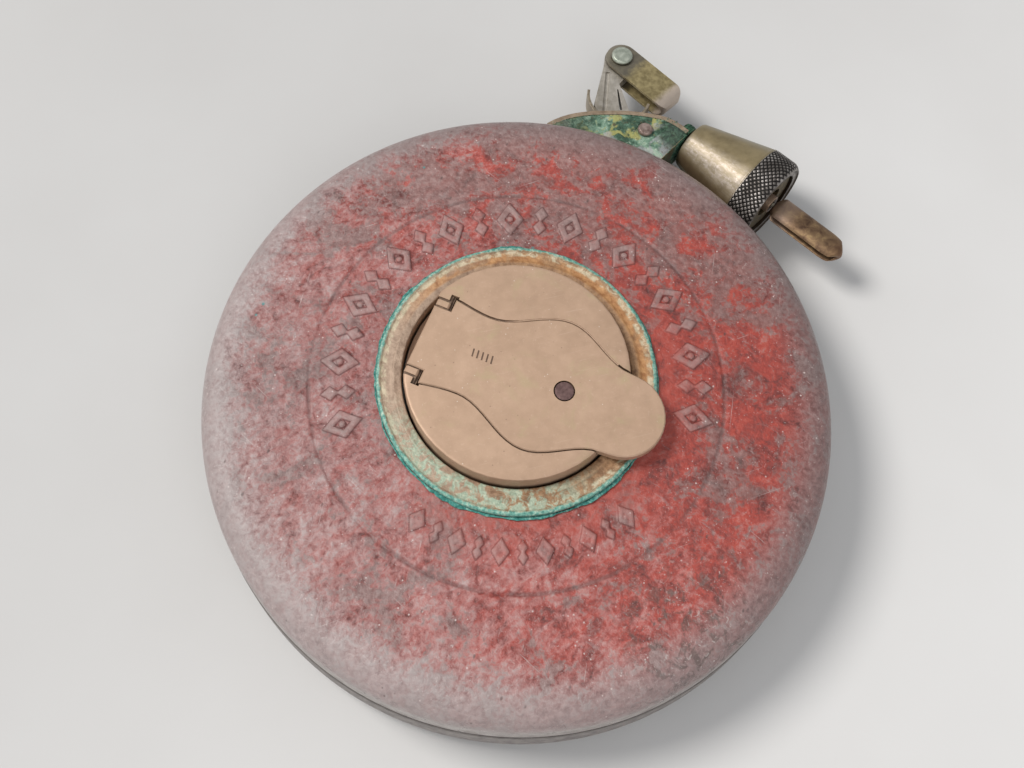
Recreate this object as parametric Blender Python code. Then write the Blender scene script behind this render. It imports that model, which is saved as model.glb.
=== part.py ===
"""Chalk line reel, built as separate solids; sizes are in mm, meshes in metres.

Frame: the reel lies on its back.  Z is the drum axis and points out of the
crank side; z = 0 is the flat back of the case.  +Y points from the drum axis
towards the hanger, +X to the right of it.  The spout axis runs past the drum
along SPOUT_ANGLE.  Everything is drawn about the drum axis and moved at the
end so that the frame's origin is the middle of the whole footprint.
"""
import math

import bmesh
import bpy
from mathutils import Matrix, Vector

MM = 0.001

# ------------------------------------------------------------- driving sizes
GAP = 0.3                     # clearance between neighbouring parts
MID_Z = 11.5                  # middle of the case, plane of the line
CASE_R = 60.0                 # front shell radius
BACK_LIP = 0.15               # back shell stands proud of the front shell
CASE_T = 23.0                 # back plane to the pressed ring on the face
SHOULDER = 5.0                # rounding between rim and faces

HANDLE_ANGLE = -23.0          # long axis of the folded handle, degrees
HANDLE_OFF = -0.9             # side offset of that axis from the drum axis
SPOUT_ANGLE = -44.0           # direction of the spout axis in the XY plane
SPOUT_DIST = 70.5             # distance of that axis from the drum axis
BAIL_ANGLE = -47.0            # direction the bail points from its rivet
BAIL_C = (26.2, 81.0)         # rivet the bail turns on
ROLLER_C = (29.7, 59.7)       # axis of the guide roller
LINE_R = 0.5
CORD_SIDES = 10

FOOTPRINT_MID = (5.0, 12.4)   # middle of the whole outline, from the drum axis
THROUGH_Z = (5.0, 18.0)       # height range of cutters that pass right through

# ------------------------------------------------------------------ materials
LOOKS = {   # base colour, roughness, metallic
    "red_case": ((0.33, 0.09, 0.075, 1), 0.55, 0.0),
    "brass": ((0.60, 0.45, 0.27, 1), 0.35, 1.0),
    "old_brass": ((0.45, 0.33, 0.17, 1), 0.45, 1.0),
    "nickel": ((0.62, 0.58, 0.50, 1), 0.30, 1.0),
    "bronze": ((0.36, 0.24, 0.13, 1), 0.40, 1.0),
    "steel": ((0.50, 0.50, 0.50, 1), 0.40, 1.0),
    "tin": ((0.55, 0.54, 0.50, 1), 0.50, 1.0),
    "cord": ((0.75, 0.72, 0.62, 1), 0.90, 0.0),
    "felt": ((0.30, 0.31, 0.33, 1), 0.95, 0.0),
}


def paint(obj, look):
    colour, roughness, metallic = LOOKS[look]
    material = bpy.data.materials.new(obj.name + "_finish")
    material.use_nodes = True
    shader = material.node_tree.nodes["Principled BSDF"]
    shader.inputs["Base Color"].default_value = colour
    shader.inputs["Roughness"].default_value = roughness
    shader.inputs["Metallic"].default_value = metallic
    material.diffuse_color = colour
    obj.data.materials.clear()
    obj.data.materials.append(material)


def finish(obj, look, angle=32.0, origin=None):
    """Smooth the round faces, add the finish, put the origin on the joint axis."""
    obj.data.shade_smooth()
    obj.data.set_sharp_from_angle(angle=math.radians(angle))
    if origin is not None:
        at = Vector(origin) * MM
        obj.data.transform(Matrix.Translation(-at))
        obj.location = at
    paint(obj, look)


# ------------------------------------------------------------------- outlines
def arc(cx, cy, r, a0, a1, steps):
    angles = [math.radians(a0 + (a1 - a0) * i / steps) for i in range(steps + 1)]
    return [(cx + r * math.cos(a), cy + r * math.sin(a)) for a in angles]


def span(x0, x1, steps):
    return [x0 + (x1 - x0) * i / steps for i in range(steps + 1)]


def stadium(x0, x1, r, steps):
    """Two half circles centred at x0 and x1 on the x axis."""
    return arc(x0, 0, r, 90, 270, steps) + arc(x1, 0, r, -90, 90, steps)


def mirrored(points):
    return [(x, -y) for x, y in reversed(points)]


def washer(bore_r, r, z0, z1):
    return [(bore_r, z0), (r, z0), (r, z1), (bore_r, z1)]


def headed_peg(head_r, head_t, shank_r, length):
    return [(0, 0), (head_r, 0), (head_r, head_t), (shank_r, head_t),
            (shank_r, length), (0, length)]


def inset(points, depth):
    """Closed outline moved inwards by depth along its corner normals."""
    pairs = list(zip(points, points[1:] + points[:1]))
    area = sum(p[0] * q[1] - q[0] * p[1] for p, q in pairs)
    side = 1.0 if area > 0 else -1.0
    moved = []
    for i in range(len(points)):
        before, here, after = (Vector(points[(i + k) % len(points)]) for k in (-1, 0, 1))
        edge_in = (here - before).normalized()
        edge_out = (after - here).normalized()
        normal_in = Vector((-edge_in.y, edge_in.x)) * side
        normal_out = Vector((-edge_out.y, edge_out.x)) * side
        # the lower limit keeps sharp corners from shooting away
        mitre = (normal_in + normal_out) / max(0.35, 1 + normal_in.dot(normal_out))
        moved.append((here.x + mitre.x * depth, here.y + mitre.y * depth))
    return moved


# --------------------------------------------------------------------- solids
def to_object(name, bm):
    bmesh.ops.recalc_face_normals(bm, faces=bm.faces[:])
    mesh = bpy.data.meshes.new(name)
    bm.to_mesh(mesh)
    bm.free()
    obj = bpy.data.objects.new(name, mesh)
    bpy.context.scene.collection.objects.link(obj)
    return obj


def lathe(name, outline, segs, centre=(0.0, 0.0)):
    """Closed (r, z) outline turned about a line parallel to Z."""
    bm = bmesh.new()
    angles = [2 * math.pi * k / segs for k in range(segs)]
    rings = []
    for r, z in outline:
        if r < 1e-6:
            rings.append([bm.verts.new((centre[0] * MM, centre[1] * MM, z * MM))])
        else:
            rings.append([bm.verts.new(((centre[0] + r * math.cos(a)) * MM,
                                        (centre[1] + r * math.sin(a)) * MM, z * MM))
                          for a in angles])
    for low, high in zip(rings, rings[1:] + rings[:1]):
        if len(low) == 1 and len(high) == 1:
            continue
        for k in range(segs):
            n = (k + 1) % segs
            if len(low) == 1:
                bm.faces.new((low[0], high[k], high[n]))
            elif len(high) == 1:
                bm.faces.new((low[k], high[0], low[n]))
            else:
                bm.faces.new((low[k], high[k], high[n], low[n]))
    return to_object(name, bm)


def prism(name, points, z0, z1):
    """Flat outline extruded from z0 to z1."""
    bm = bmesh.new()
    face = bm.faces.new([bm.verts.new((x * MM, y * MM, z0 * MM)) for x, y in points])
    out = bmesh.ops.extrude_face_region(bm, geom=[face])
    moved = [item for item in out["geom"] if isinstance(item, bmesh.types.BMVert)]
    bmesh.ops.translate(bm, verts=moved, vec=(0, 0, (z1 - z0) * MM))
    return to_object(name, bm)


def loft(name, rings):
    """Capped skin over rings of (x, y, z) points, all with the same count."""
    bm = bmesh.new()
    rings = [[bm.verts.new((x * MM, y * MM, z * MM)) for x, y, z in ring] for ring in rings]
    count = len(rings[0])
    for low, high in zip(rings, rings[1:]):
        for k in range(count):
            n = (k + 1) % count
            bm.faces.new((low[k], low[n], high[n], high[k]))
    bm.faces.new(rings[0][::-1])
    bm.faces.new(rings[-1])
    return to_object(name, bm)


def aim(at, direction):
    """Matrix that turns +Z into direction and moves the origin to at (metres)."""
    turn = Vector((0, 0, 1)).rotation_difference(Vector(direction).normalized())
    return Matrix.Translation(at) @ turn.to_matrix().to_4x4()


def rod(name, start, end, r, segs):
    """Round bar between two points."""
    a, b = Vector(start) * MM, Vector(end) * MM
    bm = bmesh.new()
    bmesh.ops.create_cone(bm, cap_ends=True, segments=segs, radius1=r * MM,
                          radius2=r * MM, depth=(b - a).length)
    bmesh.ops.transform(bm, matrix=aim((a + b) / 2, b - a), verts=bm.verts[:])
    return to_object(name, bm)


def turned(name, outline, start, direction, segs):
    """Closed (r, s) outline turned about the line through start along direction."""
    obj = lathe(name, outline, segs)
    obj.data.transform(aim(Vector(start) * MM, direction))
    return obj


def cord(name, points):
    """Round cord swept through points."""
    points = [Vector(p) for p in points]
    last = len(points) - 1
    rings = []
    for i, p in enumerate(points):
        ahead = (points[min(i + 1, last)] - points[max(i - 1, 0)]).normalized()
        side = ahead.cross(Vector((0, 0, 1))).normalized()
        lift = side.cross(ahead)
        angles = (2 * math.pi * k / CORD_SIDES for k in range(CORD_SIDES))
        rings.append([p + (side * math.cos(a) + lift * math.sin(a)) * LINE_R
                      for a in angles])
    return loft(name, rings)


# ------------------------------------------------------------------- booleans
def combine(obj, tool, how):
    """Boolean with the EXACT solver; the tool is used up."""
    mod = obj.modifiers.new("cut", "BOOLEAN")
    mod.operation = how
    mod.solver = "EXACT"
    mod.object = tool
    bpy.context.view_layer.update()
    graph = bpy.context.evaluated_depsgraph_get()
    mesh = bpy.data.meshes.new_from_object(obj.evaluated_get(graph))
    obj.modifiers.clear()
    old_mesh = obj.data
    obj.data = mesh
    bpy.data.meshes.remove(old_mesh)
    bpy.data.objects.remove(tool)
    # weld with the smallest reach (metres) that leaves the mesh closed
    for reach in (0.0, 1e-7, 1e-6, 5e-6, 2e-5):
        bm = bmesh.new()
        bm.from_mesh(mesh)
        if reach:
            bmesh.ops.remove_doubles(bm, verts=bm.verts[:], dist=reach)
            bmesh.ops.dissolve_degenerate(bm, edges=bm.edges[:], dist=reach)
        closed = all(e.is_manifold for e in bm.edges)
        if closed:
            bm.to_mesh(mesh)
        bm.free()
        if closed:
            break


def cut(obj, tool):
    combine(obj, tool, "DIFFERENCE")


def join(obj, tool):
    combine(obj, tool, "UNION")


def common(obj, tool):
    combine(obj, tool, "INTERSECT")


def cut_prism(obj, points, z0, z1):
    cut(obj, prism("tool", points, z0, z1))


def drill(obj, start, end, r, segs):
    cut(obj, rod("tool", start, end, r, segs))


def drill_z(obj, xy, z0, z1, r, segs):
    drill(obj, (*xy, z0), (*xy, z1), r, segs)


def drill_y(obj, x, z, y0, y1, r):
    drill(obj, (x, y0, z), (x, y1, z), r, 16)


# --------------------------------------------------------------- local frames
def plan_axes(angle):
    """Unit vector at angle in the XY plane, and the one 90 degrees on from it."""
    a = math.radians(angle)
    along = Vector((math.cos(a), math.sin(a)))
    return along, Vector((-along.y, along.x))


HANDLE_ALONG, HANDLE_ACROSS = plan_axes(HANDLE_ANGLE)
SPOUT_ALONG, SPOUT_OUT = plan_axes(SPOUT_ANGLE)


def handle_xy(u, v):
    """Handle frame to XY; v is measured from the handle's own centre line."""
    p = HANDLE_ALONG * u + HANDLE_ACROSS * (v + HANDLE_OFF)
    return (p.x, p.y)


def spout_xy(s, n):
    """Spout frame to XY; s along the spout, n outwards from the drum axis."""
    p = SPOUT_ALONG * s + SPOUT_OUT * n
    return (p.x, p.y)


def spout_xyz(s, n=SPOUT_DIST, z=MID_Z):
    return (*spout_xy(s, n), z)


def spout_turned(name, outline, segs):
    """(r, s) outline turned about the spout axis."""
    return turned(name, outline, SPOUT_ORIGIN, (*SPOUT_ALONG, 0.0), segs)


def stand_strap(obj, at, along, across):
    """Send the strap's x to along, its y to +Z and its z against across."""
    basis = Matrix(((along.x, 0, -across.x, 0), (along.y, 0, -across.y, 0),
                    (0, 1, 0, 0), (0, 0, 0, 1)))
    obj.data.transform(Matrix.Translation(Vector(at) * MM) @ basis)


DRUM_ORIGIN = (0, 0, MID_Z)
SPOUT_ORIGIN = spout_xyz(0)

# =================================================================== the case
WALL = 0.8
SEAM_Z, SEAM_GAP = 12.0, 0.4
SHELL_SEGS = 48
FACE_RING_R = 39.2            # pressed ring on the face
FACE_BORE_R = 24.3
FACE_DROP = 0.5               # fall of the face from the ring to the shoulder
DOME_RISE, DOME_POWER = 0.9, 1.3
RIVET_X, RIVET_Z = 10.0, (9.2, 13.8)   # rivets at the saddle's left end
RIVET_HOLE_R = 0.95
FOOT_S = -14.1                # rivets at the foot of the mouth block
SLOT_A0, SLOT_A1 = 67.3, 77.4          # rim opening, degrees

COLLAR_R, COLLAR_BORE_R = 26.4, 21.6
COLLAR = [   # r, z
    (COLLAR_BORE_R, 20.5), (23.95, 20.5), (23.95, 24.2), (COLLAR_R, 24.3),
    (26.3, 24.95), (25.9, 25.1), (25.4, 24.8), (23.4, 24.8), (23.0, 25.0),
    (COLLAR_BORE_R, 24.8)]


def face_z(r):
    """Outside of the face: falls to the shoulder, slightly domed to the collar."""
    if r > FACE_RING_R:
        return CASE_T - FACE_DROP * (r - FACE_RING_R) / (CASE_R - SHOULDER - FACE_RING_R)
    inward = 1 - (r - FACE_BORE_R) / (FACE_RING_R - FACE_BORE_R)
    return CASE_T + DOME_RISE * inward ** DOME_POWER


def open_shell(shell, rivet_z):
    """Cut the opening the line leaves by, and the shell's two rivet holes."""
    slot = arc(0, 0, 57.0, SLOT_A0, SLOT_A1, 5) + arc(0, 0, 62.0, SLOT_A1, SLOT_A0, 5)
    cut_prism(shell, slot, 9.0, 14.0)
    drill_y(shell, RIVET_X, rivet_z, 56.0, 64.0, RIVET_HOLE_R)
    drill(shell, spout_xyz(FOOT_S, 55.0, rivet_z), spout_xyz(FOOT_S, 62.0, rivet_z), 0.75, 16)
    finish(shell, "red_case", 28)


def front_shell():
    centre_r, centre_z = CASE_R - SHOULDER, CASE_T - FACE_DROP - SHOULDER
    low = SEAM_Z + SEAM_GAP / 2
    outline = [(r, face_z(r)) for r in (FACE_BORE_R, 31.0, 38.7)]
    outline += [(FACE_RING_R, CASE_T - 0.35), (39.7, face_z(39.7))]
    outline += arc(centre_r, centre_z, SHOULDER, 90, 0, 5)
    outline += [(CASE_R, low), (CASE_R - WALL, low)]
    outline += arc(centre_r, centre_z, SHOULDER - WALL, 0, 90, 3)
    outline += [(FACE_RING_R, CASE_T - WALL - 0.25), (FACE_BORE_R, face_z(FACE_BORE_R) - WALL)]
    open_shell(lathe("front_shell", outline, SHELL_SEGS), RIVET_Z[1])


def back_shell():
    r = CASE_R + BACK_LIP
    low = SEAM_Z - SEAM_GAP / 2
    outline = [(2.8, 2.0), (12.2, 2.0), (13.6, 0.0), (r - SHOULDER, 0.0)]
    outline += arc(r - SHOULDER, SHOULDER, SHOULDER, -90, 0, 5)[1:]
    outline += [(r, low), (r - WALL, low)]
    outline += arc(r - SHOULDER, SHOULDER, SHOULDER - WALL, 0, -90, 3)
    outline += [(14.6, 0.8), (13.2, 2.8), (2.8, 2.8)]
    open_shell(lathe("back_shell", outline, SHELL_SEGS), RIVET_Z[0])


def seam_hoop():
    """Open hoop inside the seam that both shells are sweated to."""
    points = arc(0, 0, 58.85, 90, 407, 40) + arc(0, 0, 58.25, 407, 90, 40)
    finish(prism("seam_hoop", points, 6.5, 16.5), "tin", 20)


def face_collar():
    finish(lathe("face_collar", COLLAR, 40), "old_brass", 35)


# ------------------------------------------------------------------- spindle
SPINDLE_R = 2.4
SPINDLE = [   # r, z
    (0, 0.2), (4.2, 0.2), (4.2, 0.75), (SPINDLE_R, 0.75), (SPINDLE_R, 16.8),
    (1.9, 17.2), (0, 17.2)]
WASHER_BORE_R = 2.7
SPINDLE_WASHERS = (   # name, radius, z0, z1, look
    ("back_washer", 6.5, 1.05, 1.7, "old_brass"),
    ("drag_washer", 7.0, 3.1, 3.5, "felt"),
    ("spindle_washer", 4.8, 13.3, 14.0, "steel"),
)


def spindle():
    finish(lathe("spindle", SPINDLE, 24), "steel")
    for name, r, z0, z1, look in SPINDLE_WASHERS:
        finish(lathe(name, washer(WASHER_BORE_R, r, z0, z1), 24), look)


def spindle_nut():
    nut = prism("spindle_nut", arc(0, 0, 4.0, 0, 300, 5), 14.3, 16.3)
    drill_z(nut, (0, 0), 14, 17, 2.65, 24)
    finish(nut, "steel", 20)


# ================================================================== the drum
CORE_R, CORE_IN_R = 20.8, 17.5
CORE_Z0, CORE_Z1 = 3.8, 19.3
CORE = [   # r, z
    (4.45, CORE_Z0), (CORE_R, CORE_Z0), (CORE_R, CORE_Z1), (CORE_IN_R, CORE_Z1),
    (CORE_IN_R, 5.2), (5.6, 5.2), (5.6, 13.0), (4.45, 13.0)]
FLANGE_R, FLANGE_T = 54.0, 0.7
COIL_R, COIL_GROOVE = 45.6, 0.5
COIL_Z0, COIL_Z1, COIL_TURNS = 4.9, 18.3, 5
HUB_SCREWS = ((-13.6, 5.2), (-13.6, -5.2), (18.9, 0.0))   # u, v in the handle frame
SCREW_HOLE_R = 1.15


def drum_core():
    core = lathe("drum_core", CORE, 36)
    # bosses for the two screws that miss the core's wall
    for u, v in HUB_SCREWS[:2]:
        xy = handle_xy(u, v)
        join(core, rod("tool", (*xy, 14.5), (*xy, CORE_Z1), 3.4, 24))
    for u, v in HUB_SCREWS:
        drill_z(core, handle_xy(u, v), 15.2, 20.0, SCREW_HOLE_R, 16)
    finish(core, "brass", origin=DRUM_ORIGIN)


def core_bush():
    finish(lathe("core_bush", washer(2.5, 4.2, 3.9, 12.9), 24), "bronze", origin=DRUM_ORIGIN)


def flanges():
    for name, z in (("rear_flange", 3.9), ("front_flange", 18.6)):
        outline = washer(CORE_R + GAP, FLANGE_R, z, z + FLANGE_T)
        finish(lathe(name, outline, 36), "tin", origin=DRUM_ORIGIN)


def line_coil():
    pitch = (COIL_Z1 - COIL_Z0) / COIL_TURNS
    groove_r = COIL_R - COIL_GROOVE
    outline = [(CORE_R + GAP, COIL_Z0), (groove_r, COIL_Z0)]
    for i in range(COIL_TURNS):
        z = COIL_Z0 + pitch * i
        outline += [(COIL_R, z + pitch * 0.5), (groove_r, z + pitch)]
    outline += [(CORE_R + GAP, COIL_Z1)]
    finish(lathe("line_coil", outline, 32), "cord", origin=DRUM_ORIGIN)


# ------------------------------------------------------- hub and its handle
HUB_R = 21.2
HUB_Z0, HUB_Z1 = 19.6, 28.1
HUB = [   # r, z
    (0, HUB_Z0), (HUB_R, HUB_Z0), (HUB_R, HUB_Z1 - 0.6), (HUB_R - 0.18, HUB_Z1 - 0.18),
    (HUB_R - 0.6, HUB_Z1), (0, HUB_Z1)]
RECESS_Z = 25.8               # floor of the recess the handle folds into
RECESS_RUN = 12.0             # the recess runs this far past the tab's centre

# boxes in the handle frame: u0, u1, half width, z0, z1
CHORD_CUT = (-30, -19.2, 20, 22.4, 30.0)
BARREL_ROOM = (-24, -15.9, 8.4, 24.5, 30.0)
HINGE_SLOT = (-16.95, -15.3, 9.65, 25.95, 30.0)
LEAF_POCKET = (-12.9, -2.2, 2.8, 24.9, 26.7)
LEAF = (-12.4, -2.6, 2.3, 25.2, 25.55)
LEAF_RIVET_U, LEAF_HOLE_R = -4.4, 0.95

HINGE_U, HINGE_Z, HINGE_HOLE_R = -17.8, 26.7, 0.75
BARREL_R, BARREL_HALF = 1.4, 6.4
LUG_IN, LUG_OUT = 6.7, 7.9
LUG = [   # u, z
    (-19.1, 24.1), (-15.2, 24.1), (-15.2, 25.4), (-16.4, 25.6), (-16.4, 27.65),
    (-16.75, 28.0), (-18.75, 28.0), (-19.1, 27.65)]

PLATE_Z0, PLATE_Z1, PLATE_EASE = 26.1, 28.1, 0.22
PLATE_START = -15.7
# u, half width at waist, belly and neck
HANDLE_STATIONS = ((-19.0, 9.3), (-8.2, 8.05), (6.3, 13.1), (20.0, 8.0))
TAB_U, TAB_R, TAB_LEAD = 21.0, 7.9, 1.2   # round tab; the sides end TAB_LEAD before TAB_U

KNOB_U, KNOB_R = 9.75, 4.2
KNOB_Z0, KNOB_Z1 = 15.8, 25.6
KNOB = [   # r, z
    (1.45, 17.0), (2.4, 17.0), (2.4, KNOB_Z0), (3.3, KNOB_Z0), (KNOB_R, 16.9),
    (KNOB_R, 18.4), (3.3, 21.5), (3.3, 24.4), (3.9, 25.0), (3.9, KNOB_Z1), (1.45, KNOB_Z1)]
KNOB_RIVET = [   # r, z
    (0, 16.0), (2.1, 16.0), (2.1, 16.7), (1.2, 16.7), (1.2, 27.4), (1.75, 27.4),
    (1.75, 28.0), (0, 28.1)]
WELL_R, WELL_SHIFT = 5.0, 1.9
SCREW_HOLE = [   # r, z
    (0, 18.5), (SCREW_HOLE_R, 18.5), (SCREW_HOLE_R, 24.6), (1.8, 24.6), (1.8, 26.9), (0, 26.9)]
SCREW = [   # r, z
    (0, 15.6), (0.85, 15.6), (0.85, 24.9), (1.5, 24.9), (1.5, 25.5), (0, 25.5)]

HINGE_ORIGIN = (*handle_xy(HINGE_U, 0), HINGE_Z)
KNOB_XY = handle_xy(KNOB_U, 0)
LEAF_RIVET_XY = handle_xy(LEAF_RIVET_U, 0)


def in_plan(points):
    return [handle_xy(u, v) for u, v in points]


def handle_box(name, box):
    u0, u1, half, z0, z1 = box
    return prism(name, in_plan([(u0, -half), (u1, -half), (u1, half), (u0, half)]), z0, z1)


def side_prism(name, points, v0, v1):
    """Outline in the handle's u-z plane, extruded across from v0 to v1."""
    return loft(name, [[(*handle_xy(u, v), z) for u, z in points] for v in (v0, v1)])


def hinge_rod(name, half, r, segs):
    """Bar along the hinge axis, half to either side of the centre line."""
    ends = [(*handle_xy(HINGE_U, v), HINGE_Z) for v in (-half, half)]
    return rod(name, *ends, r, segs)


def handle_half_width(u):
    """Half width of the handle: cosine blends between the stations."""
    for (u0, w0), (u1, w1) in zip(HANDLE_STATIONS, HANDLE_STATIONS[1:]):
        if u <= u1:
            t = (u - u0) / (u1 - u0)
            return w0 + (w1 - w0) * (0.5 - 0.5 * math.cos(math.pi * t))
    return HANDLE_STATIONS[-1][1]


def handle_side(start, grow):
    """The handle's +v edge from start to the tab, moved out by grow."""
    return [(u, handle_half_width(u) + grow) for u in span(start, TAB_U - TAB_LEAD, 24)]


def hub_disc():
    hub = lathe("hub_disc", HUB, 48)
    for box in (CHORD_CUT, BARREL_ROOM, HINGE_SLOT):
        cut(hub, handle_box("tool", box))
    neck = HANDLE_STATIONS[-1][1] + GAP
    edge = handle_side(-16.0, GAP) + [(TAB_U + RECESS_RUN, neck)]
    cut_prism(hub, in_plan(edge + mirrored(edge)), RECESS_Z, 30.5)
    # well for the folded knob
    cut_prism(hub, in_plan(stadium(KNOB_U, KNOB_U + WELL_SHIFT, WELL_R, 12)), 19.0, 26.6)
    cut(hub, handle_box("tool", LEAF_POCKET))
    drill_z(hub, LEAF_RIVET_XY, 22.5, 26.2, LEAF_HOLE_R, 16)
    for u, v in HUB_SCREWS:
        cut(hub, lathe("tool", SCREW_HOLE, 20, handle_xy(u, v)))
    # lugs that carry the hinge pin
    join(hub, side_prism("tool", LUG, LUG_IN, LUG_OUT))
    join(hub, side_prism("tool", LUG, -LUG_OUT, -LUG_IN))
    cut(hub, hinge_rod("tool", 9.0, HINGE_HOLE_R, 20))
    finish(hub, "brass", 30, DRUM_ORIGIN)


def hub_screws():
    for i, (u, v) in enumerate(HUB_SCREWS):
        screw = lathe("hub_screw_%d" % (i + 1), SCREW, 20, handle_xy(u, v))
        finish(screw, "steel", origin=DRUM_ORIGIN)


def leaf_spring():
    leaf = handle_box("leaf_spring", LEAF)
    drill_z(leaf, LEAF_RIVET_XY, 24, 26, LEAF_HOLE_R, 16)
    finish(leaf, "steel", origin=DRUM_ORIGIN)
    outline = [(0, 22.8), (0.65, 22.8), (0.65, 25.85), (0, 25.85)]
    finish(lathe("leaf_rivet", outline, 16, LEAF_RIVET_XY), "old_brass", origin=DRUM_ORIGIN)


def hinge_pin():
    finish(hinge_rod("hinge_pin", 8.0, 0.55, 16), "steel", origin=HINGE_ORIGIN)


def crank_handle():
    lead = math.degrees(math.acos(-TAB_LEAD / TAB_R))
    tab = arc(TAB_U, 0, TAB_R, lead, 0, 9)[1:]
    edge = [(HINGE_U - BARREL_R + 0.05, BARREL_HALF), (PLATE_START, BARREL_HALF)]
    edge += handle_side(PLATE_START, 0.0) + tab[:-1]
    outline = edge + tab[-1:] + mirrored(edge)
    eased = inset(outline, PLATE_EASE)
    layers = ((eased, PLATE_Z0), (outline, PLATE_Z0 + PLATE_EASE),
              (outline, PLATE_Z1 - PLATE_EASE), (eased, PLATE_Z1))
    plate = loft("crank_handle", [[(*handle_xy(u, v), z) for u, v in points]
                                  for points, z in layers])
    barrel = arc(HINGE_U, HINGE_Z, BARREL_R, -175, -7, 14)
    barrel += [(HINGE_U + 1.2, 27.5), (HINGE_U - 1.2, 27.5)]
    barrel_end = BARREL_HALF - 0.03
    join(plate, side_prism("tool", barrel, -barrel_end, barrel_end))
    cut(plate, hinge_rod("tool", BARREL_HALF + 2, HINGE_HOLE_R, 20))
    # knob rivet hole and its counterbore
    drill_z(plate, KNOB_XY, 25, 29, 1.5, 20)
    drill_z(plate, KNOB_XY, 27.2, 29, 2.0, 28)
    finish(plate, "brass", 30, HINGE_ORIGIN)


def winding_knob():
    finish(lathe("knob_rivet", KNOB_RIVET, 20, KNOB_XY), "old_brass", origin=HINGE_ORIGIN)
    finish(lathe("winding_knob", KNOB, 24, KNOB_XY), "brass", origin=(*KNOB_XY, 21.0))


# ================================================================= the mouth
SADDLE_Z0, SADDLE_Z1, SADDLE_T = 7.2, 15.8, 1.0
SADDLE_X0, SADDLE_X1 = 8.2, 39.4
SADDLE_TOP, CREST_X = 65.05, 24.0             # height and place of the crest
LEFT_DROP, LEFT_RUN, LEFT_POWER = 2.25, 14.0, 3.2
RIGHT_DROP, RIGHT_RUN = 1.41, 10.0
TAIL_X, TAIL_CURVE = 33.5, 0.054              # extra fall at the right end
POST_RIVET_X = 23.7

BLOCK_INSET = 0.4                             # block ends short of the saddle ends
BLOCK_FRONT_S, BLOCK_FRONT_N = -12.9, 69.0
CAVITY_WALL_S = -15.3
CAVITY = [(14.0, 50.0), (14.0, 75.0), spout_xy(-30, 84.0),
          spout_xy(CAVITY_WALL_S, 84.0), spout_xy(CAVITY_WALL_S, 52.0)]
BOSS_R, BOSS_S0, BOSS_S1 = 3.3, -15.1, -13.0
STUB_S0, STUB_S1, STUB_R, STUB_BORE = -15.0, -4.2, 2.5, 1.4
STUB = [   # r, s
    (STUB_BORE + 0.7, STUB_S0), (STUB_R, STUB_S0), (STUB_R, STUB_S1 - 0.3),
    (STUB_R - 0.3, STUB_S1), (STUB_BORE, STUB_S1), (STUB_BORE, STUB_S0 + 0.9)]

ROLLER_R, GROOVE_R = 2.4, 1.8
ROLLER = [   # r, z
    (1.3, 9.3), (ROLLER_R, 9.3), (ROLLER_R, 10.1), (GROOVE_R, 10.8), (GROOVE_R, 12.2),
    (ROLLER_R, 12.9), (ROLLER_R, 13.7), (1.3, 13.7)]
ROLLER_PIN = [   # r, z
    (0, 6.1), (1.3, 6.1), (1.65, 6.5), (1.65, 6.9), (1.0, 6.9), (1.0, 16.1),
    (1.65, 16.1), (1.65, 16.6), (1.3, 16.95), (0, 16.95)]


def saddle_y(x):
    """Outer face of the strip: down to the rim at its left, over the spout at its right."""
    if x < CREST_X:
        return SADDLE_TOP - LEFT_DROP * ((CREST_X - x) / LEFT_RUN) ** LEFT_POWER
    fall = RIGHT_DROP * ((x - CREST_X) / RIGHT_RUN) ** 2
    return SADDLE_TOP - fall - TAIL_CURVE * max(0.0, x - TAIL_X) ** 2


def saddle_offset(x, depth):
    """Point at depth below the outer face, square to it."""
    slope = (saddle_y(x + 0.01) - saddle_y(x - 0.01)) / 0.02
    normal = Vector((-slope, 1.0)).normalized()
    return (x - normal.x * depth, saddle_y(x) - normal.y * depth)


def saddle_strip():
    points = [(x, saddle_y(x)) for x in span(SADDLE_X0, SADDLE_X1, 20)]
    points += [saddle_offset(x, SADDLE_T) for x in span(SADDLE_X1, SADDLE_X0, 20)]
    saddle = prism("saddle_strip", points, SADDLE_Z0, SADDLE_Z1)
    for z in RIVET_Z:
        drill_y(saddle, RIVET_X, z, 60, 66, RIVET_HOLE_R)
    drill_y(saddle, POST_RIVET_X, MID_Z, 60, 67, RIVET_HOLE_R)
    # clearance round the boss, then a slanting hole beside it
    drill(saddle, spout_xyz(BOSS_S0 - 0.4), spout_xyz(-9.0), BOSS_R + GAP, 36)
    drill(saddle, spout_xyz(-18.6, 68.1), spout_xyz(-14.6, 70.6), 1.25, 20)
    finish(saddle, "old_brass", 30)


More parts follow.
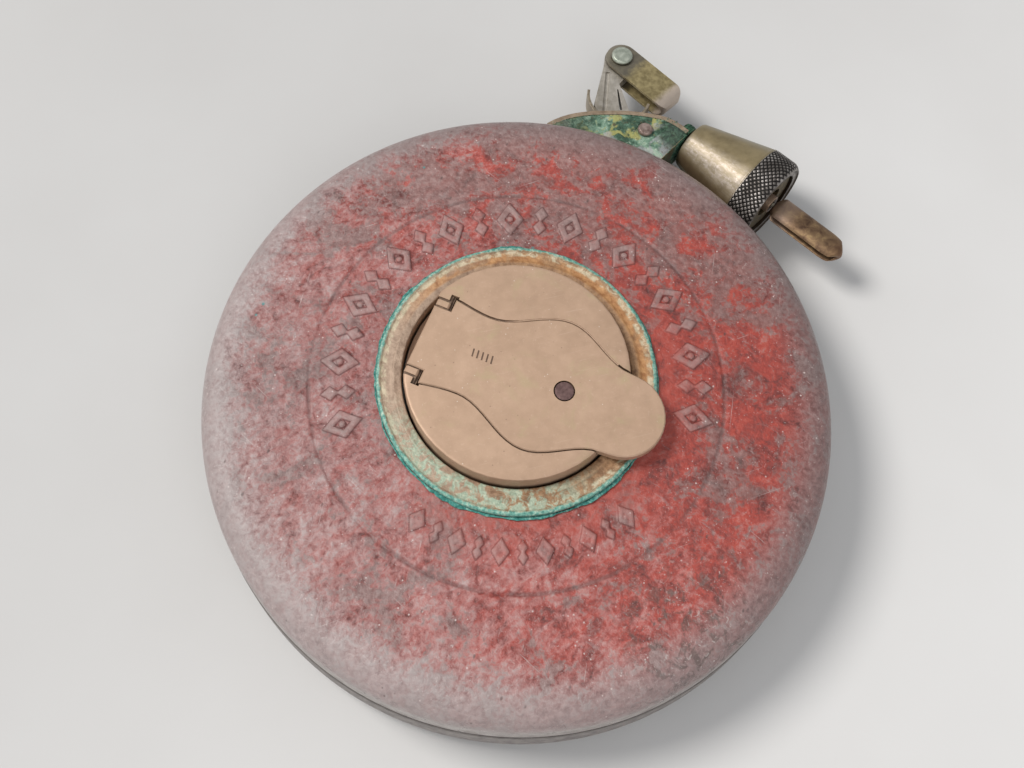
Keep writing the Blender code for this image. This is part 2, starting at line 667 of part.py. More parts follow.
def mouth_block():
    rim = CASE_R + BACK_LIP + GAP
    xs = span(SADDLE_X0 + BLOCK_INSET, SADDLE_X1 - BLOCK_INSET, 20)
    points = [saddle_offset(x, SADDLE_T + GAP) for x in xs]
    left_angle = math.degrees(math.acos(points[0][0] / rim))
    foot = spout_xy(BLOCK_FRONT_S, math.sqrt(rim ** 2 - BLOCK_FRONT_S ** 2))
    foot_angle = math.degrees(math.atan2(foot[1], foot[0]))
    points += [spout_xy(BLOCK_FRONT_S, BLOCK_FRONT_N)]
    points += arc(0, 0, rim, foot_angle, left_angle, 12)
    block = prism("mouth_block", points, SADDLE_Z0, SADDLE_Z1)
    join(block, rod("tool", spout_xyz(BOSS_S0), spout_xyz(BOSS_S1), BOSS_R, 36))
    cut_prism(block, CAVITY, 8.9, 14.1)
    drill(block, spout_xyz(-16.6), spout_xyz(-11.5), STUB_R + 0.25, 32)
    drill_z(block, ROLLER_C, *THROUGH_Z, 1.25, 20)
    for z in RIVET_Z:
        drill_y(block, RIVET_X, z, 58, 66, RIVET_HOLE_R)
        drill(block, spout_xyz(FOOT_S, 57.0, z), spout_xyz(FOOT_S, 63.2, z), 0.65, 16)
    finish(block, "old_brass", 30)


def mouth_rivets():
    base_y = 57.0
    saddle_peg = headed_peg(1.4, 0.7, 0.65, saddle_y(RIVET_X) - 0.1 - base_y)
    foot_peg = headed_peg(1.1, 0.6, 0.4, 7.2)
    for i, z in enumerate(RIVET_Z):
        finish(turned("saddle_rivet_%d" % (i + 1), saddle_peg, (RIVET_X, base_y, z),
                      (0, 1, 0), 16), "old_brass")
        finish(turned("mouth_rivet_%d" % (i + 1), foot_peg, spout_xyz(FOOT_S, 55.6, z),
                      (*SPOUT_OUT, 0), 16), "old_brass")


def spout_stub():
    finish(spout_turned("spout_stub", STUB, 24), "old_brass")


def guide_roller():
    finish(lathe("guide_roller", ROLLER, 20, ROLLER_C), "bronze", origin=(*ROLLER_C, MID_Z))
    finish(lathe("roller_pin", ROLLER_PIN, 20, ROLLER_C), "nickel")


# ------------------------------------------------------------ line and ring
RING_S0, RING_S1, RING_W, RING_H, RING_T = 10.7, 28.3, 5.7, 3.8, 1.05
RING_NOSE_R = 2.6
KNOT_S, KNOT_R = 13.15, 0.62
FERRULE = [(0.8, 5.9), (2.1, 5.9), (2.1, 10.2), (1.9, 10.4), (0.8, 10.4)]   # r, s


def line_run():
    """Line from the coil, round the roller and into the spout."""
    x, y = ROLLER_C
    wrap_r = GROOVE_R + LINE_R + 0.25
    lay_r = COIL_R + LINE_R + 0.35
    # common tangent of the coil and the roller; both are left at on_angle
    lead_in = math.degrees(math.atan2(y, x))
    lead_in -= math.degrees(math.asin((lay_r - wrap_r) / math.hypot(x, y)))
    on_angle = lead_in + 90
    on_rad = math.radians(on_angle)
    # tangent from the roller to the spout's mouth
    goal = spout_xy(-14.9, SPOUT_DIST - 0.3)
    off_angle = math.degrees(math.atan2(goal[1] - y, goal[0] - x))
    off_angle += math.degrees(math.acos(wrap_r / math.hypot(goal[0] - x, goal[1] - y)))
    run = [(lay_r * math.cos(on_rad), lay_r * math.sin(on_rad))]
    run += arc(x, y, wrap_r, on_angle, off_angle, 5)
    run += [goal, spout_xy(-14.5, SPOUT_DIST - 0.05), spout_xy(-14.3, SPOUT_DIST)]
    finish(cord("line_run", [(*xy, MID_Z) for xy in run]), "cord", 50)


def line_leader():
    points = [spout_xyz(s) for s in (-14.0, -5.0, 4.0, 12.2)]
    finish(cord("line_leader", points), "cord", 50, SPOUT_ORIGIN)


def line_knot():
    bm = bmesh.new()
    bmesh.ops.create_icosphere(bm, subdivisions=1, radius=KNOT_R * MM)
    bmesh.ops.translate(bm, verts=bm.verts[:], vec=Vector(spout_xyz(KNOT_S)) * MM)
    finish(to_object("line_knot", bm), "cord", 60, SPOUT_ORIGIN)


def ring_ferrule():
    finish(spout_turned("ring_ferrule", FERRULE, 28), "bronze", origin=SPOUT_ORIGIN)


def end_ring():
    """Strap loop: a stadium in the s-z plane, rounded in plan."""
    half_h, half_w = RING_H / 2, RING_W / 2
    centres = (RING_S0 + half_h, RING_S1 - half_h)
    loop = prism("end_ring", stadium(*centres, half_h, 10), -half_w, half_w)
    cut_prism(loop, stadium(*centres, half_h - RING_T, 8), -RING_W, RING_W)
    stand_strap(loop, SPOUT_ORIGIN, SPOUT_ALONG, SPOUT_OUT)
    nose = [(s, v * RING_W / (2 * RING_NOSE_R))
            for s, v in arc(RING_S1 - RING_NOSE_R, 0, RING_NOSE_R, 80, 0, 8)]
    near = [(RING_S0 + 0.6, -half_w), (RING_S0, -half_w + 0.8),
            (RING_S0, half_w - 0.8), (RING_S0 + 0.6, half_w)]
    plan = nose + mirrored(nose[:-1]) + near
    shape = [spout_xy(s, SPOUT_DIST + v) for s, v in plan]
    common(loop, prism("tool", shape, *THROUGH_Z))
    drill(loop, spout_xyz(9.0), spout_xyz(12.4), 0.85, 16)
    finish(loop, "bronze", 35, SPOUT_ORIGIN)


# ------------------------------------------------------------------- nozzle
CONE_S0, KNURL_S, CONE_S1 = -12.4, 4.2, 10.3
CONE_R0, CONE_R1 = 5.2, 10.2
NOZZLE = [   # r, s
    (STUB_R + 0.3, CONE_S0), (CONE_R0 - 0.3, CONE_S0), (CONE_R0, CONE_S0 + 0.3),
    (CONE_R1 - 0.1, KNURL_S - 0.15), (CONE_R1 - 0.1, KNURL_S), (CONE_R1, KNURL_S + 0.1),
    (CONE_R1, CONE_S1 - 1.5), (CONE_R1 - 0.25, CONE_S1 - 0.6), (CONE_R1 - 0.9, CONE_S1),
    (7.5, CONE_S1), (7.5, -2.0), (STUB_R + 0.3, -3.6)]
PACKING_R = 7.2
PACKING = (   # name, bore radius, s0, s1, segments, look
    ("felt_wiper", 0.8, -1.6, 3.2, 28, "felt"),
    ("gland_washer", 0.8, 3.5, 4.4, 28, "old_brass"),
    ("nozzle_plug", 3.6, 4.9, 9.4, 32, "old_brass"),
)


def cone_nozzle():
    finish(spout_turned("cone_nozzle", NOZZLE, 36), "nickel", 30, SPOUT_ORIGIN)
    for name, bore_r, s0, s1, segs, look in PACKING:
        outline = washer(bore_r, PACKING_R, s0, s1)
        finish(spout_turned(name, outline, segs), look, origin=SPOUT_ORIGIN)


# ============================================================== hanger parts
CRADLE_C, CRADLE_R, CRADLE_T = (24.9, 70.6), 7.2, 0.6
CRADLE_FLOOR = SADDLE_TOP + GAP
POST_T, POST_EYE = 2.8, 3.9
POST_BASE = CRADLE_FLOOR + CRADLE_T + GAP
POST_SLIT = [(24.85, 67.2), (25.5, 67.2), (24.95, 72.8), (24.7, 72.8)]   # x, y
BAIL_LEN, BAIL_HALF_W, BAIL_T, BAIL_H = 16.2, 3.6, 0.8, 5.0
BAIL_CORNER_R, BAIL_HOLE_R = 2.2, 1.5
BAIL_RIVET = [   # r, z
    (0, 7.6), (1.7, 7.6), (2.3, 8.0), (2.3, 8.7), (1.25, 8.7), (1.25, 14.3),
    (2.4, 14.3), (2.4, 14.75), (2.0, 15.1), (0, 15.2)]


def post_cradle():
    """Curved strip with a flat floor on the saddle's crest."""
    inner_r, inner_floor = CRADLE_R - CRADLE_T, CRADLE_FLOOR + CRADLE_T
    points = [(x, max(y, CRADLE_FLOOR)) for x, y in arc(*CRADLE_C, CRADLE_R, 167, 340, 28)]
    points += [(x, max(y, inner_floor)) for x, y in arc(*CRADLE_C, inner_r, 340, 167, 28)]
    cradle = prism("post_cradle", points, 9.2, 13.8)
    drill_y(cradle, POST_RIVET_X, MID_Z, 64, 68, RIVET_HOLE_R)
    finish(cradle, "nickel", 30)


def bail_post():
    points = [(27.2, POST_BASE), (25.3, 74.3)] + arc(*BAIL_C, POST_EYE, -62, 187, 20)
    points += [(19.2, 68.7), (19.6, 67.2), (20.4, POST_BASE)]
    top = MID_Z + POST_T / 2
    post = prism("bail_post", points, MID_Z - POST_T / 2, top)
    # round groove beside the left edge, slit beside the right leg
    drill(post, (21.35, 65.5, top + 0.25), (22.9, 77.6, top + 0.25), 0.62, 12)
    cut_prism(post, POST_SLIT, *THROUGH_Z)
    drill_z(post, BAIL_C, *THROUGH_Z, BAIL_HOLE_R, 24)
    drill_y(post, POST_RIVET_X, MID_Z, 65, 70.2, 0.85)
    finish(post, "nickel", 30)


def hanger_rivets():
    peg = headed_peg(1.6, 0.7, 0.6, 6.8)
    finish(turned("post_rivet", peg, (POST_RIVET_X, 62.9, MID_Z), (0, 1, 0), 16), "old_brass")
    finish(lathe("bail_rivet", BAIL_RIVET, 20, BAIL_C), "nickel")


def hanger_bail():
    """Strap bent into a U, rounded where it turns on the rivet."""
    half, width, corner_r = BAIL_H / 2, BAIL_HALF_W, BAIL_CORNER_R
    inner = half - BAIL_T
    strap = [(-width, half)] + arc(BAIL_LEN - half, 0, half, 90, -90, 12) + [(-width, -half)]
    strap += [(-width, -inner)] + arc(BAIL_LEN - half, 0, inner, -90, 90, 10)
    strap += [(-width, inner)]
    bail = prism("hanger_bail", strap, -width, width)
    along, across = plan_axes(BAIL_ANGLE)
    origin = (*BAIL_C, MID_Z)
    stand_strap(bail, origin, along, across)
    corner = BAIL_LEN - corner_r
    plan = arc(0, 0, width, 90, 270, 16) + [(corner, -width)]
    plan += arc(corner, -width + corner_r, corner_r, -75, 0, 4)
    plan += arc(corner, width - corner_r, corner_r, 0, 75, 4) + [(corner, width)]
    shape = [(BAIL_C[0] + along.x * a + across.x * b, BAIL_C[1] + along.y * a + across.y * b)
             for a, b in plan]
    common(bail, prism("tool", shape, *THROUGH_Z))
    drill_z(bail, BAIL_C, *THROUGH_Z, BAIL_HOLE_R, 24)
    finish(bail, "bronze", 30, origin)


# ===================================================================== build
PIECES = (
    front_shell, back_shell, seam_hoop, face_collar, spindle, spindle_nut,
    drum_core, core_bush, flanges, line_coil,
    hub_disc, hub_screws, leaf_spring, hinge_pin, crank_handle, winding_knob,
    saddle_strip, mouth_block, mouth_rivets, spout_stub, guide_roller,
    line_run, line_leader, line_knot, ring_ferrule, end_ring, cone_nozzle,
    post_cradle, bail_post, hanger_rivets, hanger_bail,
)

for old in list(bpy.data.objects):
    bpy.data.objects.remove(old)
for build in PIECES:
    build()
# origin in the middle of the footprint
for obj in bpy.data.objects:
    obj.location -= Vector((FOOTPRINT_MID[0] * MM, FOOTPRINT_MID[1] * MM, 0.0))
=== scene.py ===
"""Looks of the chalk line reel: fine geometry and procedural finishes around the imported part.

Sizes are in mm about the drum axis: the round case lies flat with its back at z = 0 and its
face up. The spout runs beside the case along SPOUT_ALONG, and the folded crank handle lies
on the face along HANDLE_ALONG. make() carries everything to the row frame, in metres.
"""
import math
from functools import cached_property

import bpy
import numpy as np
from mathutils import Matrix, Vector

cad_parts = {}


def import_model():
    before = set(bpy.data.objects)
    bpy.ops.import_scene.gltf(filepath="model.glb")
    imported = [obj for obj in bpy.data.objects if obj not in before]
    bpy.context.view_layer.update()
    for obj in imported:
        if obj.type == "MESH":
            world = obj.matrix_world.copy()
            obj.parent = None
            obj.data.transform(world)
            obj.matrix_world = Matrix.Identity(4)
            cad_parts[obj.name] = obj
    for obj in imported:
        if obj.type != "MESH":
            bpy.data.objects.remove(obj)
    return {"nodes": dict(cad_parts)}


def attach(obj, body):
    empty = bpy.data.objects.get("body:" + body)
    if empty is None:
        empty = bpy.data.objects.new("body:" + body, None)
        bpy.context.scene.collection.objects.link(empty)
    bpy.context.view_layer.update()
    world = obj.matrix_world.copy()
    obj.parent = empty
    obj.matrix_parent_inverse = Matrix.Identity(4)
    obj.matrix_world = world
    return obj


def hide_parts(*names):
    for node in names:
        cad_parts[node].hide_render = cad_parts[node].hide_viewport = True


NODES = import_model()["nodes"]
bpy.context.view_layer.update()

MM = 0.001
AXIS_SHIFT = np.array([5.0, 12.4, 0.0])   # the drum axis stands at (-5, -12.4) in the row frame

CASE_R, BACK_LIP, CASE_T = 60.0, 0.15, 23.0
SHOULDER, WALL = 5.0, 0.8
SHOULDER_STEPS, INNER_STEPS = 18, 5
FLAT_R = CASE_R - SHOULDER
EDGE_Z = CASE_T - 0.5                     # height of the face where the shoulder starts
FACE_RING_R, FACE_BORE_R = 39.2, 24.3
MID_Z = CASE_T / 2
SPOUT_DIST = 70.5                         # from the drum axis to the spout axis


def plan_axes(degrees):
    """Unit vector at an angle in plan, and the one a quarter turn anticlockwise from it."""
    a = math.radians(degrees)
    return np.array([math.cos(a), math.sin(a), 0.0]), np.array([-math.sin(a), math.cos(a), 0.0])


SPOUT_ALONG, SPOUT_OUT = plan_axes(-44.0)
HANDLE_ALONG, HANDLE_ACROSS = plan_axes(-23.0)
HANDLE_OFFSET = -0.9                      # handle centre line, measured across the handle
UP = np.array([0.0, 0.0, 1.0])


# =============================================================== noise and mesh
def value_noise(x, y, seed, cell, octaves=3):
    """Smooth repeatable noise in 0..1 at mm positions."""
    total, amp, norm = 0.0, 1.0, 0.0
    for octave in range(octaves):
        table = np.random.default_rng(seed + 17 * octave).random((257, 257))
        fx, fy = x / cell * 2 ** octave + 61.3, y / cell * 2 ** octave + 113.7
        ix, iy = np.floor(fx).astype(int), np.floor(fy).astype(int)
        tx, ty = fx - ix, fy - iy
        tx, ty = tx * tx * (3 - 2 * tx), ty * ty * (3 - 2 * ty)
        x0, x1, y0, y1 = ix % 256, (ix + 1) % 256, iy % 256, (iy + 1) % 256
        near = table[x0, y0] * (1 - tx) + table[x1, y0] * tx
        far = table[x0, y1] * (1 - tx) + table[x1, y1] * tx
        total = total + amp * (near * (1 - ty) + far * ty)
        norm += amp
        amp *= 0.5
    return total / norm


def make(name, points, faces, sharp=None, attrs=None):
    """Mesh object from mm points; smooth up to the sharp angle in degrees, flat without one."""
    points = (np.asarray(points, float) - AXIS_SHIFT) * MM
    mesh = bpy.data.meshes.new(name)
    mesh.from_pydata([tuple(p) for p in points], [], [tuple(int(i) for i in f) for f in faces])
    mesh.validate()
    if sharp is not None:
        mesh.shade_smooth()
        mesh.set_sharp_from_angle(angle=math.radians(sharp))
    for key, values in (attrs or {}).items():
        layer = mesh.attributes.new(key, "FLOAT", "POINT")
        layer.data.foreach_set("value", np.asarray(values, np.float32).reshape(-1))
    obj = bpy.data.objects.new(name, mesh)
    bpy.context.scene.collection.objects.link(obj)
    return obj


def ring_faces(rings, segs, closed=True):
    """Quads between successive rings of points; closed joins the last ring to the first."""
    faces = []
    for i in range(rings if closed else rings - 1):
        a, b = i * segs, ((i + 1) % rings) * segs
        for k in range(segs):
            n = (k + 1) % segs
            faces.append((a + k, a + n, b + n, b + k))
    return faces


def facing(faces, side):
    """The faces as given for side 1, turned over for side -1."""
    return faces if side > 0 else [f[::-1] for f in faces]


def turn_angles(segs):
    return np.arange(segs) * 2 * math.pi / segs


def outline_grid(outline, segs):
    """Radius, height and angle of each point of a (radius, height) outline turned round."""
    radius, height = (np.repeat(np.array(c, float)[:, None], segs, 1) for c in zip(*outline))
    return radius, height, turn_angles(segs)[None] + 0 * radius


def turned_z(name, radius, height, angle, sharp, attrs=None):
    """Closed outline grid turned about the drum axis."""
    points = np.stack([radius * np.cos(angle), radius * np.sin(angle), height], -1)
    faces = facing(ring_faces(*radius.shape), -1)
    return make(name, points.reshape(-1, 3), faces, sharp, attrs)


def round_spout(along, radius, angle):
    """Points about the spout axis, as a flat list."""
    points = (SPOUT_ALONG * along[..., None]
              + SPOUT_OUT * (SPOUT_DIST + radius * np.cos(angle))[..., None]
              + UP * (MID_Z + radius * np.sin(angle))[..., None])
    return points.reshape(-1, 3)


def arc(centre_r, centre_z, radius, start, end, steps):
    """Outline points on an arc, angles in degrees."""
    angles = [math.radians(start + (end - start) * i / steps) for i in range(steps + 1)]
    return [(centre_r + radius * math.cos(a), centre_z + radius * math.sin(a)) for a in angles]


def handle_point(along, across, z):
    """Point in the handle's own frame."""
    point = HANDLE_ALONG * along + HANDLE_ACROSS * (across + HANDLE_OFFSET)
    return point[0], point[1], z


# =================================================================== node tools
class Signal:
    """Output of a shader node; arithmetic on it adds Math nodes."""

    def __init__(self, look, socket):
        self.look, self.socket = look, socket

    def __add__(self, other):
        return self.look.math("ADD", self, other)

    def __radd__(self, other):
        return self.look.math("ADD", other, self)

    def __sub__(self, other):
        return self.look.math("SUBTRACT", self, other)

    def __rsub__(self, other):
        return self.look.math("SUBTRACT", other, self)

    def __mul__(self, other):
        return self.look.math("MULTIPLY", self, other)

    def __abs__(self):
        return self.look.math("ABSOLUTE", self)

    def band(self, lo, hi, bottom=0.0, top=1.0):
        """Smooth step from bottom at lo to top at hi; lo may be the greater."""
        return self.look.node("ShaderNodeMapRange", {0: self, 1: lo, 2: hi, 3: bottom, 4: top},
                              interpolation_type="SMOOTHSTEP")


class Look:
    """One Principled material grown from nodes; base is its colour so far."""

    def __init__(self, name):
        self.material = bpy.data.materials.new(name)
        self.material.use_nodes = True
        self.tree = self.material.node_tree
        self.tree.nodes.clear()
        coords = self.node("ShaderNodeTexCoord", {}, out="Object")
        self.pos = self.node("ShaderNodeVectorMath",
                             {0: coords, 1: (1000, 1000, 1000), 2: tuple(AXIS_SHIFT)},
                             operation="MULTIPLY_ADD")
        self.base = None

    def put(self, socket, value):
        if isinstance(value, Signal):
            self.tree.links.new(value.socket, socket)
            return
        if isinstance(value, tuple) and len(value) == 3 and socket.type == "RGBA":
            value = (*value, 1.0)
        socket.default_value = value

    def node(self, kind, inputs, out=0, **settings):
        node = self.tree.nodes.new(kind)
        for key, value in settings.items():
            setattr(node, key, value)
        for key, value in inputs.items():
            self.put(node.inputs[key], value)
        return Signal(self, node.outputs[out])

    def math(self, operation, *values, clamp=False):
        return self.node("ShaderNodeMath", dict(enumerate(values)), operation=operation,
                         use_clamp=clamp)

    @cached_property
    def xyz(self):
        split = self.node("ShaderNodeSeparateXYZ", {0: self.pos}).socket.node
        return [Signal(self, output) for output in split.outputs]

    def length(self, a, b):
        return self.math("SQRT", a * a + b * b)

    def radius(self):
        """Distance from the drum axis."""
        return self.length(*self.xyz[:2])

    def along(self, direction):
        """Distance from the origin along a direction."""
        return self.node("ShaderNodeVectorMath", {0: self.pos, 1: tuple(direction)}, out="Value",
                         operation="DOT_PRODUCT")

    def near(self, point, inner, outer):
        """1 within inner mm of a point, 0 beyond outer."""
        distance = self.node("ShaderNodeVectorMath", {0: self.pos, 1: point}, out="Value",
                             operation="DISTANCE")
        return distance.band(lo=inner, hi=outer, bottom=1.0, top=0.0)

    def noise(self, scale, detail=5, rough=0.65, warp=0.0, vec=None, off=0.0):
        """Noise with scale in cycles per mm; off moves it to another patch."""
        vec = vec or self.pos
        if off:
            vec = self.node("ShaderNodeVectorMath", {0: vec, 1: (off, off * 1.7, off * 0.6)},
                            operation="ADD")
        return self.node("ShaderNodeTexNoise", {"Vector": vec, "Scale": scale, "Detail": detail,
                                                "Roughness": rough, "Distortion": warp})

    def stretch(self, direction, along, across, off):
        """Position scaled along and across a direction, to draw a texture out along it."""
        first = Vector(direction).normalized()
        side = first.cross(Vector((0, 0, 1))) if abs(first.z) < 0.9 else Vector((1, 0, 0))
        side.normalize()
        scaled = [self.math("MULTIPLY_ADD", self.along(axis), factor, off)
                  for axis, factor in ((first, along), (side, across), (first.cross(side), across))]
        return self.node("ShaderNodeCombineXYZ", dict(enumerate(scaled)))

    def cells(self, scale, feature="F1", vec=None):
        """Distance to scattered cell centres, scale in cells per mm."""
        return self.node("ShaderNodeTexVoronoi", {"Vector": vec or self.pos, "Scale": scale},
                         out="Distance", feature=feature)

    def ramp(self, factor, *stops):
        """Colour ramp; stops are (position, colour)."""
        ramp = self.node("ShaderNodeValToRGB", {0: factor})
        elements = ramp.socket.node.color_ramp.elements
        while len(elements) < len(stops):
            elements.new(0.5)
        for element, (position, colour) in zip(elements, stops):
            element.position = position
            element.color = (*colour, 1.0)
        return ramp

    def mix(self, factor, first, second, blend="MIX"):
        return self.node("ShaderNodeMix", {"Factor": factor, 6: first, 7: second}, out=2,
                         data_type="RGBA", blend_type=blend)

    def paint(self, colour, mask):
        """Lay a colour over the base where the mask is 1."""
        self.base = self.mix(mask, self.base, colour)

    def shade(self, tone):
        """Multiply the base by a grey tone."""
        grey = self.node("ShaderNodeCombineXYZ", {0: tone, 1: tone, 2: tone})
        self.base = self.mix(1.0, self.base, grey, "MULTIPLY")

    def attr(self, name):
        return self.node("ShaderNodeAttribute", {}, out="Fac", attribute_name=name)

    def grime(self, reach, lo, hi):
        """Ambient occlusion mask, 1 in corners tighter than reach mm, 0 in the open; it places
        painted corner shade, and the green crust of the aged brass.
        """
        open_sky = self.node("ShaderNodeAmbientOcclusion", {"Distance": reach * MM}, out="AO",
                             samples=6, inside=False)
        return open_sky.band(lo=lo, hi=hi, bottom=1.0, top=0.0)

    def finish(self, rough, height, bump, depth, metal=0.0, spec=0.5):
        """Join base, bump (strength, and depth in mm) and shader; returns the material."""
        normal = self.node("ShaderNodeBump",
                           {"Strength": bump, "Distance": depth * MM, "Height": height})
        shader = self.node("ShaderNodeBsdfPrincipled", {
            "Base Color": self.base, "Roughness": rough, "Metallic": metal,
            "Specular IOR Level": spec, "Normal": normal})
        output = self.tree.nodes.new("ShaderNodeOutputMaterial")
        self.put(output.inputs[0], shader)
        return self.material


# =================================================================== materials
# Colours are linear RGB. The factor after a mask is the strength of that layer, and the
# factors in a sum of noises are their weights.
def cover_look():
    """Grained red leathercloth, rubbed to grey-mauve towards the rim, with a painted sheen at the
    left, painted shade across the middle and painted light on the rim.
    """
    look = Look("cover_worn_leathercloth")
    r = look.radius()
    mid = look.noise(scale=0.22, rough=0.62, warp=0.8, off=13.0)
    fine = look.noise(scale=0.9, detail=6, rough=0.68, warp=0.4, off=31.0)
    grit = look.noise(scale=3.2, detail=3, rough=0.6, off=5.0)
    cover_cloth(look, r, mid, fine)
    near_rim = cover_rim(look, r, mid, fine)
    cover_relief(look, r)
    cover_marks(look)
    # clean red kept near the lower right of the collar
    x, y, _ = look.xyz
    ring = r.band(lo=36.0, hi=26.0) * (x * 0.8 + y * -1.0).band(lo=-6.0, hi=26.0)
    look.paint((0.43, 0.075, 0.052), ring * mid.band(lo=0.38, hi=0.56, bottom=0.15, top=0.70))
    grain = look.cells(1.15, "SMOOTH_F1")
    return look.finish(
        rough=mid.band(lo=0.3, hi=0.7) * 0.13
        + near_rim.band(lo=0.0, hi=1.0, bottom=0.33, top=0.26),
        height=grain * 0.42 + fine * 0.85 + (grit * 0.22 + mid * 0.8), bump=0.62, depth=0.45)


def cover_cloth(look, r, mid, fine):
    """Red cloth, its fading under a painted sheen that pales the left and lower left, and the
    brown-grey wear.
    """
    x, y, _ = look.xyz
    # painted sheen: the cloth is paled most at the left and lower left, least at the right; the
    # patches laid on it are faded cloth
    lean = x * -0.0098 + y * -0.0030
    streak = look.noise(scale=0.42, rough=0.66, warp=0.9,
                        vec=look.stretch((0.7, 0.6, 0), along=0.55, across=1.25, off=29.0))
    patches = (mid * 0.40 + (streak * 0.30 + fine * 0.30) - 0.5) * 5.0
    fade_and_sheen = look.math("ADD", lean + patches, 0.13, clamp=True)
    red = look.ramp(mid * 0.55 + fine * 0.45,
                    (0.36, (0.125, 0.034, 0.030)), (0.45, (0.290, 0.056, 0.045)),
                    (0.54, (0.455, 0.066, 0.046)), (0.66, (0.590, 0.130, 0.090)))
    pale = look.ramp(look.noise(scale=0.6, rough=0.6, off=51.0) * 0.5 + fine * 0.5,
                     (0.34, (0.26, 0.190, 0.182)), (0.50, (0.42, 0.345, 0.335)),
                     (0.68, (0.55, 0.490, 0.480)))
    look.base = look.mix(fade_and_sheen * 0.86, red, pale)
    # brown-grey wear in drifts over the red, thickest across the top and the right
    drift = look.noise(scale=0.10, rough=0.62, warp=0.9, off=61.0) * 0.60 + fine * 0.40
    top = (x * 0.35 + y).band(lo=8.0, hi=48.0, top=0.085)
    worn = (drift + (top + r.band(lo=30.0, hi=52.0) * 0.02)).band(lo=0.520, hi=0.590)
    brown = look.ramp(look.noise(scale=0.8, rough=0.62, off=73.0),
                      (0.34, (0.130, 0.085, 0.078)), (0.50, (0.225, 0.155, 0.143)),
                      (0.68, (0.335, 0.260, 0.245)))
    look.paint(brown, worn * 0.70)


def cover_rim(look, r, mid, fine):
    """Rim and side wall, rubbed and painted with light and shade, and the grey smears; returns the
    mask of the rim.
    """
    x, y, z = look.xyz
    # rim: evenly rubbed, with painted light from the left: pale at the lit left, brown in painted
    # shade at the right
    rim_lit_side = (x * -1.0 + y * -0.55).band(lo=-55.0, hi=62.0)
    rubbed_and_lit = look.mix(rim_lit_side, (0.135, 0.092, 0.086), (0.50, 0.445, 0.435))
    speckle = look.mix(fine.band(lo=0.35, hi=0.65), (0.19, 0.135, 0.128), (0.35, 0.29, 0.28))
    rubbed_and_lit = look.mix(0.5, rubbed_and_lit, speckle)
    # painted shade: darker along the middle, lighter away from it in y
    look.shade(look.math("MULTIPLY_ADD", abs(y), 0.0036, 0.80))
    near_rim = (r + (mid * 0.6 + fine * 0.4 - 0.5) * 16.0).band(lo=49.5, hi=57.5)
    look.paint(rubbed_and_lit, near_rim * 0.80)
    # side wall: rubbed almost bare, and paled by a painted reflection of the table
    bare_and_reflection = look.ramp(look.noise(scale=0.35, detail=4, rough=0.6, off=71.0),
                     (0.35, (0.28, 0.235, 0.215)), (0.6, (0.48, 0.43, 0.40)))
    look.paint(bare_and_reflection, z.band(lo=19.5, hi=16.0) * r.band(lo=57.0, hi=59.0))
    # thin smears of grey where the cloth is polished
    smear = look.noise(scale=0.5, rough=0.7, warp=0.5,
                       vec=look.stretch((0.8, -0.5, 0), along=0.35, across=1.6, off=3.0))
    look.paint((0.36, 0.27, 0.26), smear.band(lo=0.58, hi=0.72, top=0.42))
    return near_rim


def cover_relief(look, r):
    """Pressed ring, and the raised pattern round the collar."""
    groove = abs(r - FACE_RING_R)
    lost = look.noise(scale=0.16, detail=4, rough=0.6, off=19.0)
    look.paint((0.110, 0.062, 0.058),
               lost.band(lo=0.40, hi=0.56, bottom=0.15) * groove.band(lo=0.60, hi=0.10, top=0.52))
    rise = look.attr("rise")
    rubbed_top = look.noise(scale=0.30, detail=4, rough=0.62, off=87.0)
    look.paint((0.36, 0.245, 0.228), rise.band(lo=0.14, hi=0.34)
               * rubbed_top.band(lo=0.34, hi=0.58, bottom=0.22, top=0.66))
    foot = rise.band(lo=0.01, hi=0.06) * rise.band(lo=0.30, hi=0.14)
    look.paint((0.115, 0.042, 0.038), foot * 0.62)


